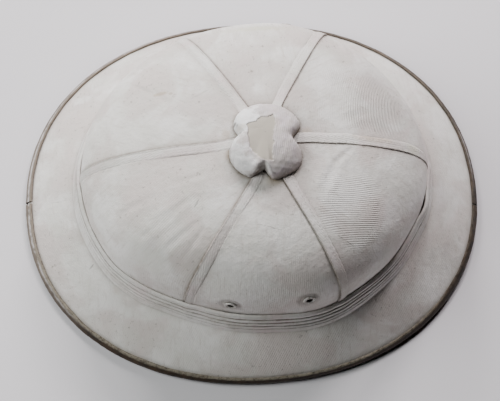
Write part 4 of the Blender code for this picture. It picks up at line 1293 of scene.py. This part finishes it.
def makeShell():
    angle = fullTurn(shell["columns"])[None, :]
    station = np.concatenate([np.linspace(0, 1, shell["crownRows"]), np.linspace(1, 2, shell["wallRows"])[1:],
                              np.linspace(2, 3, shell["brimRows"])[1:]])[:, None]
    angle, station = angle + 0 * station, station + 0 * angle
    radius, height = bodyPlace(angle, station)
    outside = toWorld(angle, radius, height)
    normal = gridNormals(outside, closed=True)
    pithDepth = helmet["pith"] + (helmet["brimPith"] - helmet["pith"]) * np.clip(station - 2, 0, 1)
    outer = outside - normal * (clothDepth + shell["underCloth"])
    rough = lumps(outside - normal * (clothDepth + pithDepth)[..., None], shell["lumps"]) * (station < 2.9)
    inner = outside + normal * (rough - clothDepth - pithDepth)[..., None]
    holes = fromEyelets(outside) < eyelets["cut"]
    points = np.concatenate([openEyelets(outer), openEyelets(inner)[::-1]])
    drop = np.concatenate([holes, holes[::-1]])
    place(gridMesh("pith_wall", points, closed=True, tube=True, drop=drop), "pith", makePith(), "pith_shell")


makeShell()
print("Pith shell is made")

collar = bpy.data.objects["vent_collar"]
for slot in collar.material_slots:
    slot.material = tarnished


# Floor, light and camera

studio = {
    "floor": (0.775, 0.75, 0.775, 1),
    "target": (0, 0, 0.0036), "distance": 1.0, "heading": -8.4, "elevation": 70.0, "roll": 4.8,
    "lens": 94.03, "shiftX": -0.0052, "shiftY": -0.0094,
    "lights": [
        {"name": "key", "azimuth": 58, "elevation": 44, "size": 0.35, "watts": 15.0,
         "colour": (1.0, 0.945, 0.97)},
        {"name": "far", "azimuth": 82, "elevation": 44, "size": 0.35, "watts": 14.0,
         "colour": (1.0, 0.96, 0.975)},
        {"name": "low", "azimuth": 110, "elevation": 32, "size": 0.40, "watts": 13.3,
         "colour": (1.0, 0.985, 0.985)},
        {"name": "left", "azimuth": 175, "elevation": 43, "size": 1.0, "watts": 21.5,
         "colour": (0.965, 1.0, 0.99)},
    ],
    "away": 1.6,
}


def makeFloor():
    half = 3.0
    corners = [(-half, -half, 0), (half, -half, 0), (half, half, 0), (-half, half, 0)]
    mesh = bpy.data.meshes.new("floor")
    mesh.from_pydata(corners, [], [(0, 1, 2, 3)])
    material, tree, here = startMaterial("pale paper")
    low = tuple(0.97 * value for value in studio["floor"][:3]) + (1,)
    colour = mixColour(tree, noiseNode(tree, here, 3.0, 3.0), studio["floor"], low)
    finishMaterial(tree, {"Base Color": colour, "Roughness": 0.9, "Specular IOR Level": 0.2})
    mesh.materials.append(material)
    addObject("floor", mesh)


def towards(azimuth, elevation):
    flat = math.cos(elevation)
    return Vector((math.cos(azimuth) * flat, math.sin(azimuth) * flat, math.sin(elevation)))


def addLights():
    for light in studio["lights"]:
        data = bpy.data.lights.new(light["name"], "AREA")
        data.shape, data.size, data.energy = "DISK", light["size"], light["watts"]
        data.color = light["colour"]
        lamp = addObject(light["name"], data)
        direction = towards(math.radians(light["azimuth"]), math.radians(light["elevation"]))
        lamp.location = Vector(studio["target"]) + direction * studio["away"]
        lamp.rotation_euler = direction.to_track_quat("Z", "Y").to_euler()
    world = bpy.data.worlds.new("studio")
    world.use_nodes = True
    world.node_tree.nodes["Background"].inputs["Strength"].default_value = 0
    bpy.context.scene.world = world


def addCamera():
    heading, elevation, roll = (math.radians(studio[key]) for key in ("heading", "elevation", "roll"))
    back = towards(heading - math.pi / 2, elevation)
    right = Vector((math.cos(heading), math.sin(heading), 0))
    up = back.cross(right)
    rolledRight = math.cos(roll) * right + math.sin(roll) * up
    rolledUp = -math.sin(roll) * right + math.cos(roll) * up
    data = bpy.data.cameras.new("camera")
    data.lens, data.sensor_width = studio["lens"], 36
    data.shift_x, data.shift_y = studio["shiftX"], studio["shiftY"]
    camera = addObject("camera", data)
    turn = Matrix((rolledRight, rolledUp, back)).transposed().to_4x4()
    eye = Vector(studio["target"]) + back * studio["distance"]
    camera.matrix_world = Matrix.Translation(eye) @ turn
    bpy.context.scene.camera = camera


makeFloor()
addLights()
addCamera()
print("Floor, lights and camera are set")
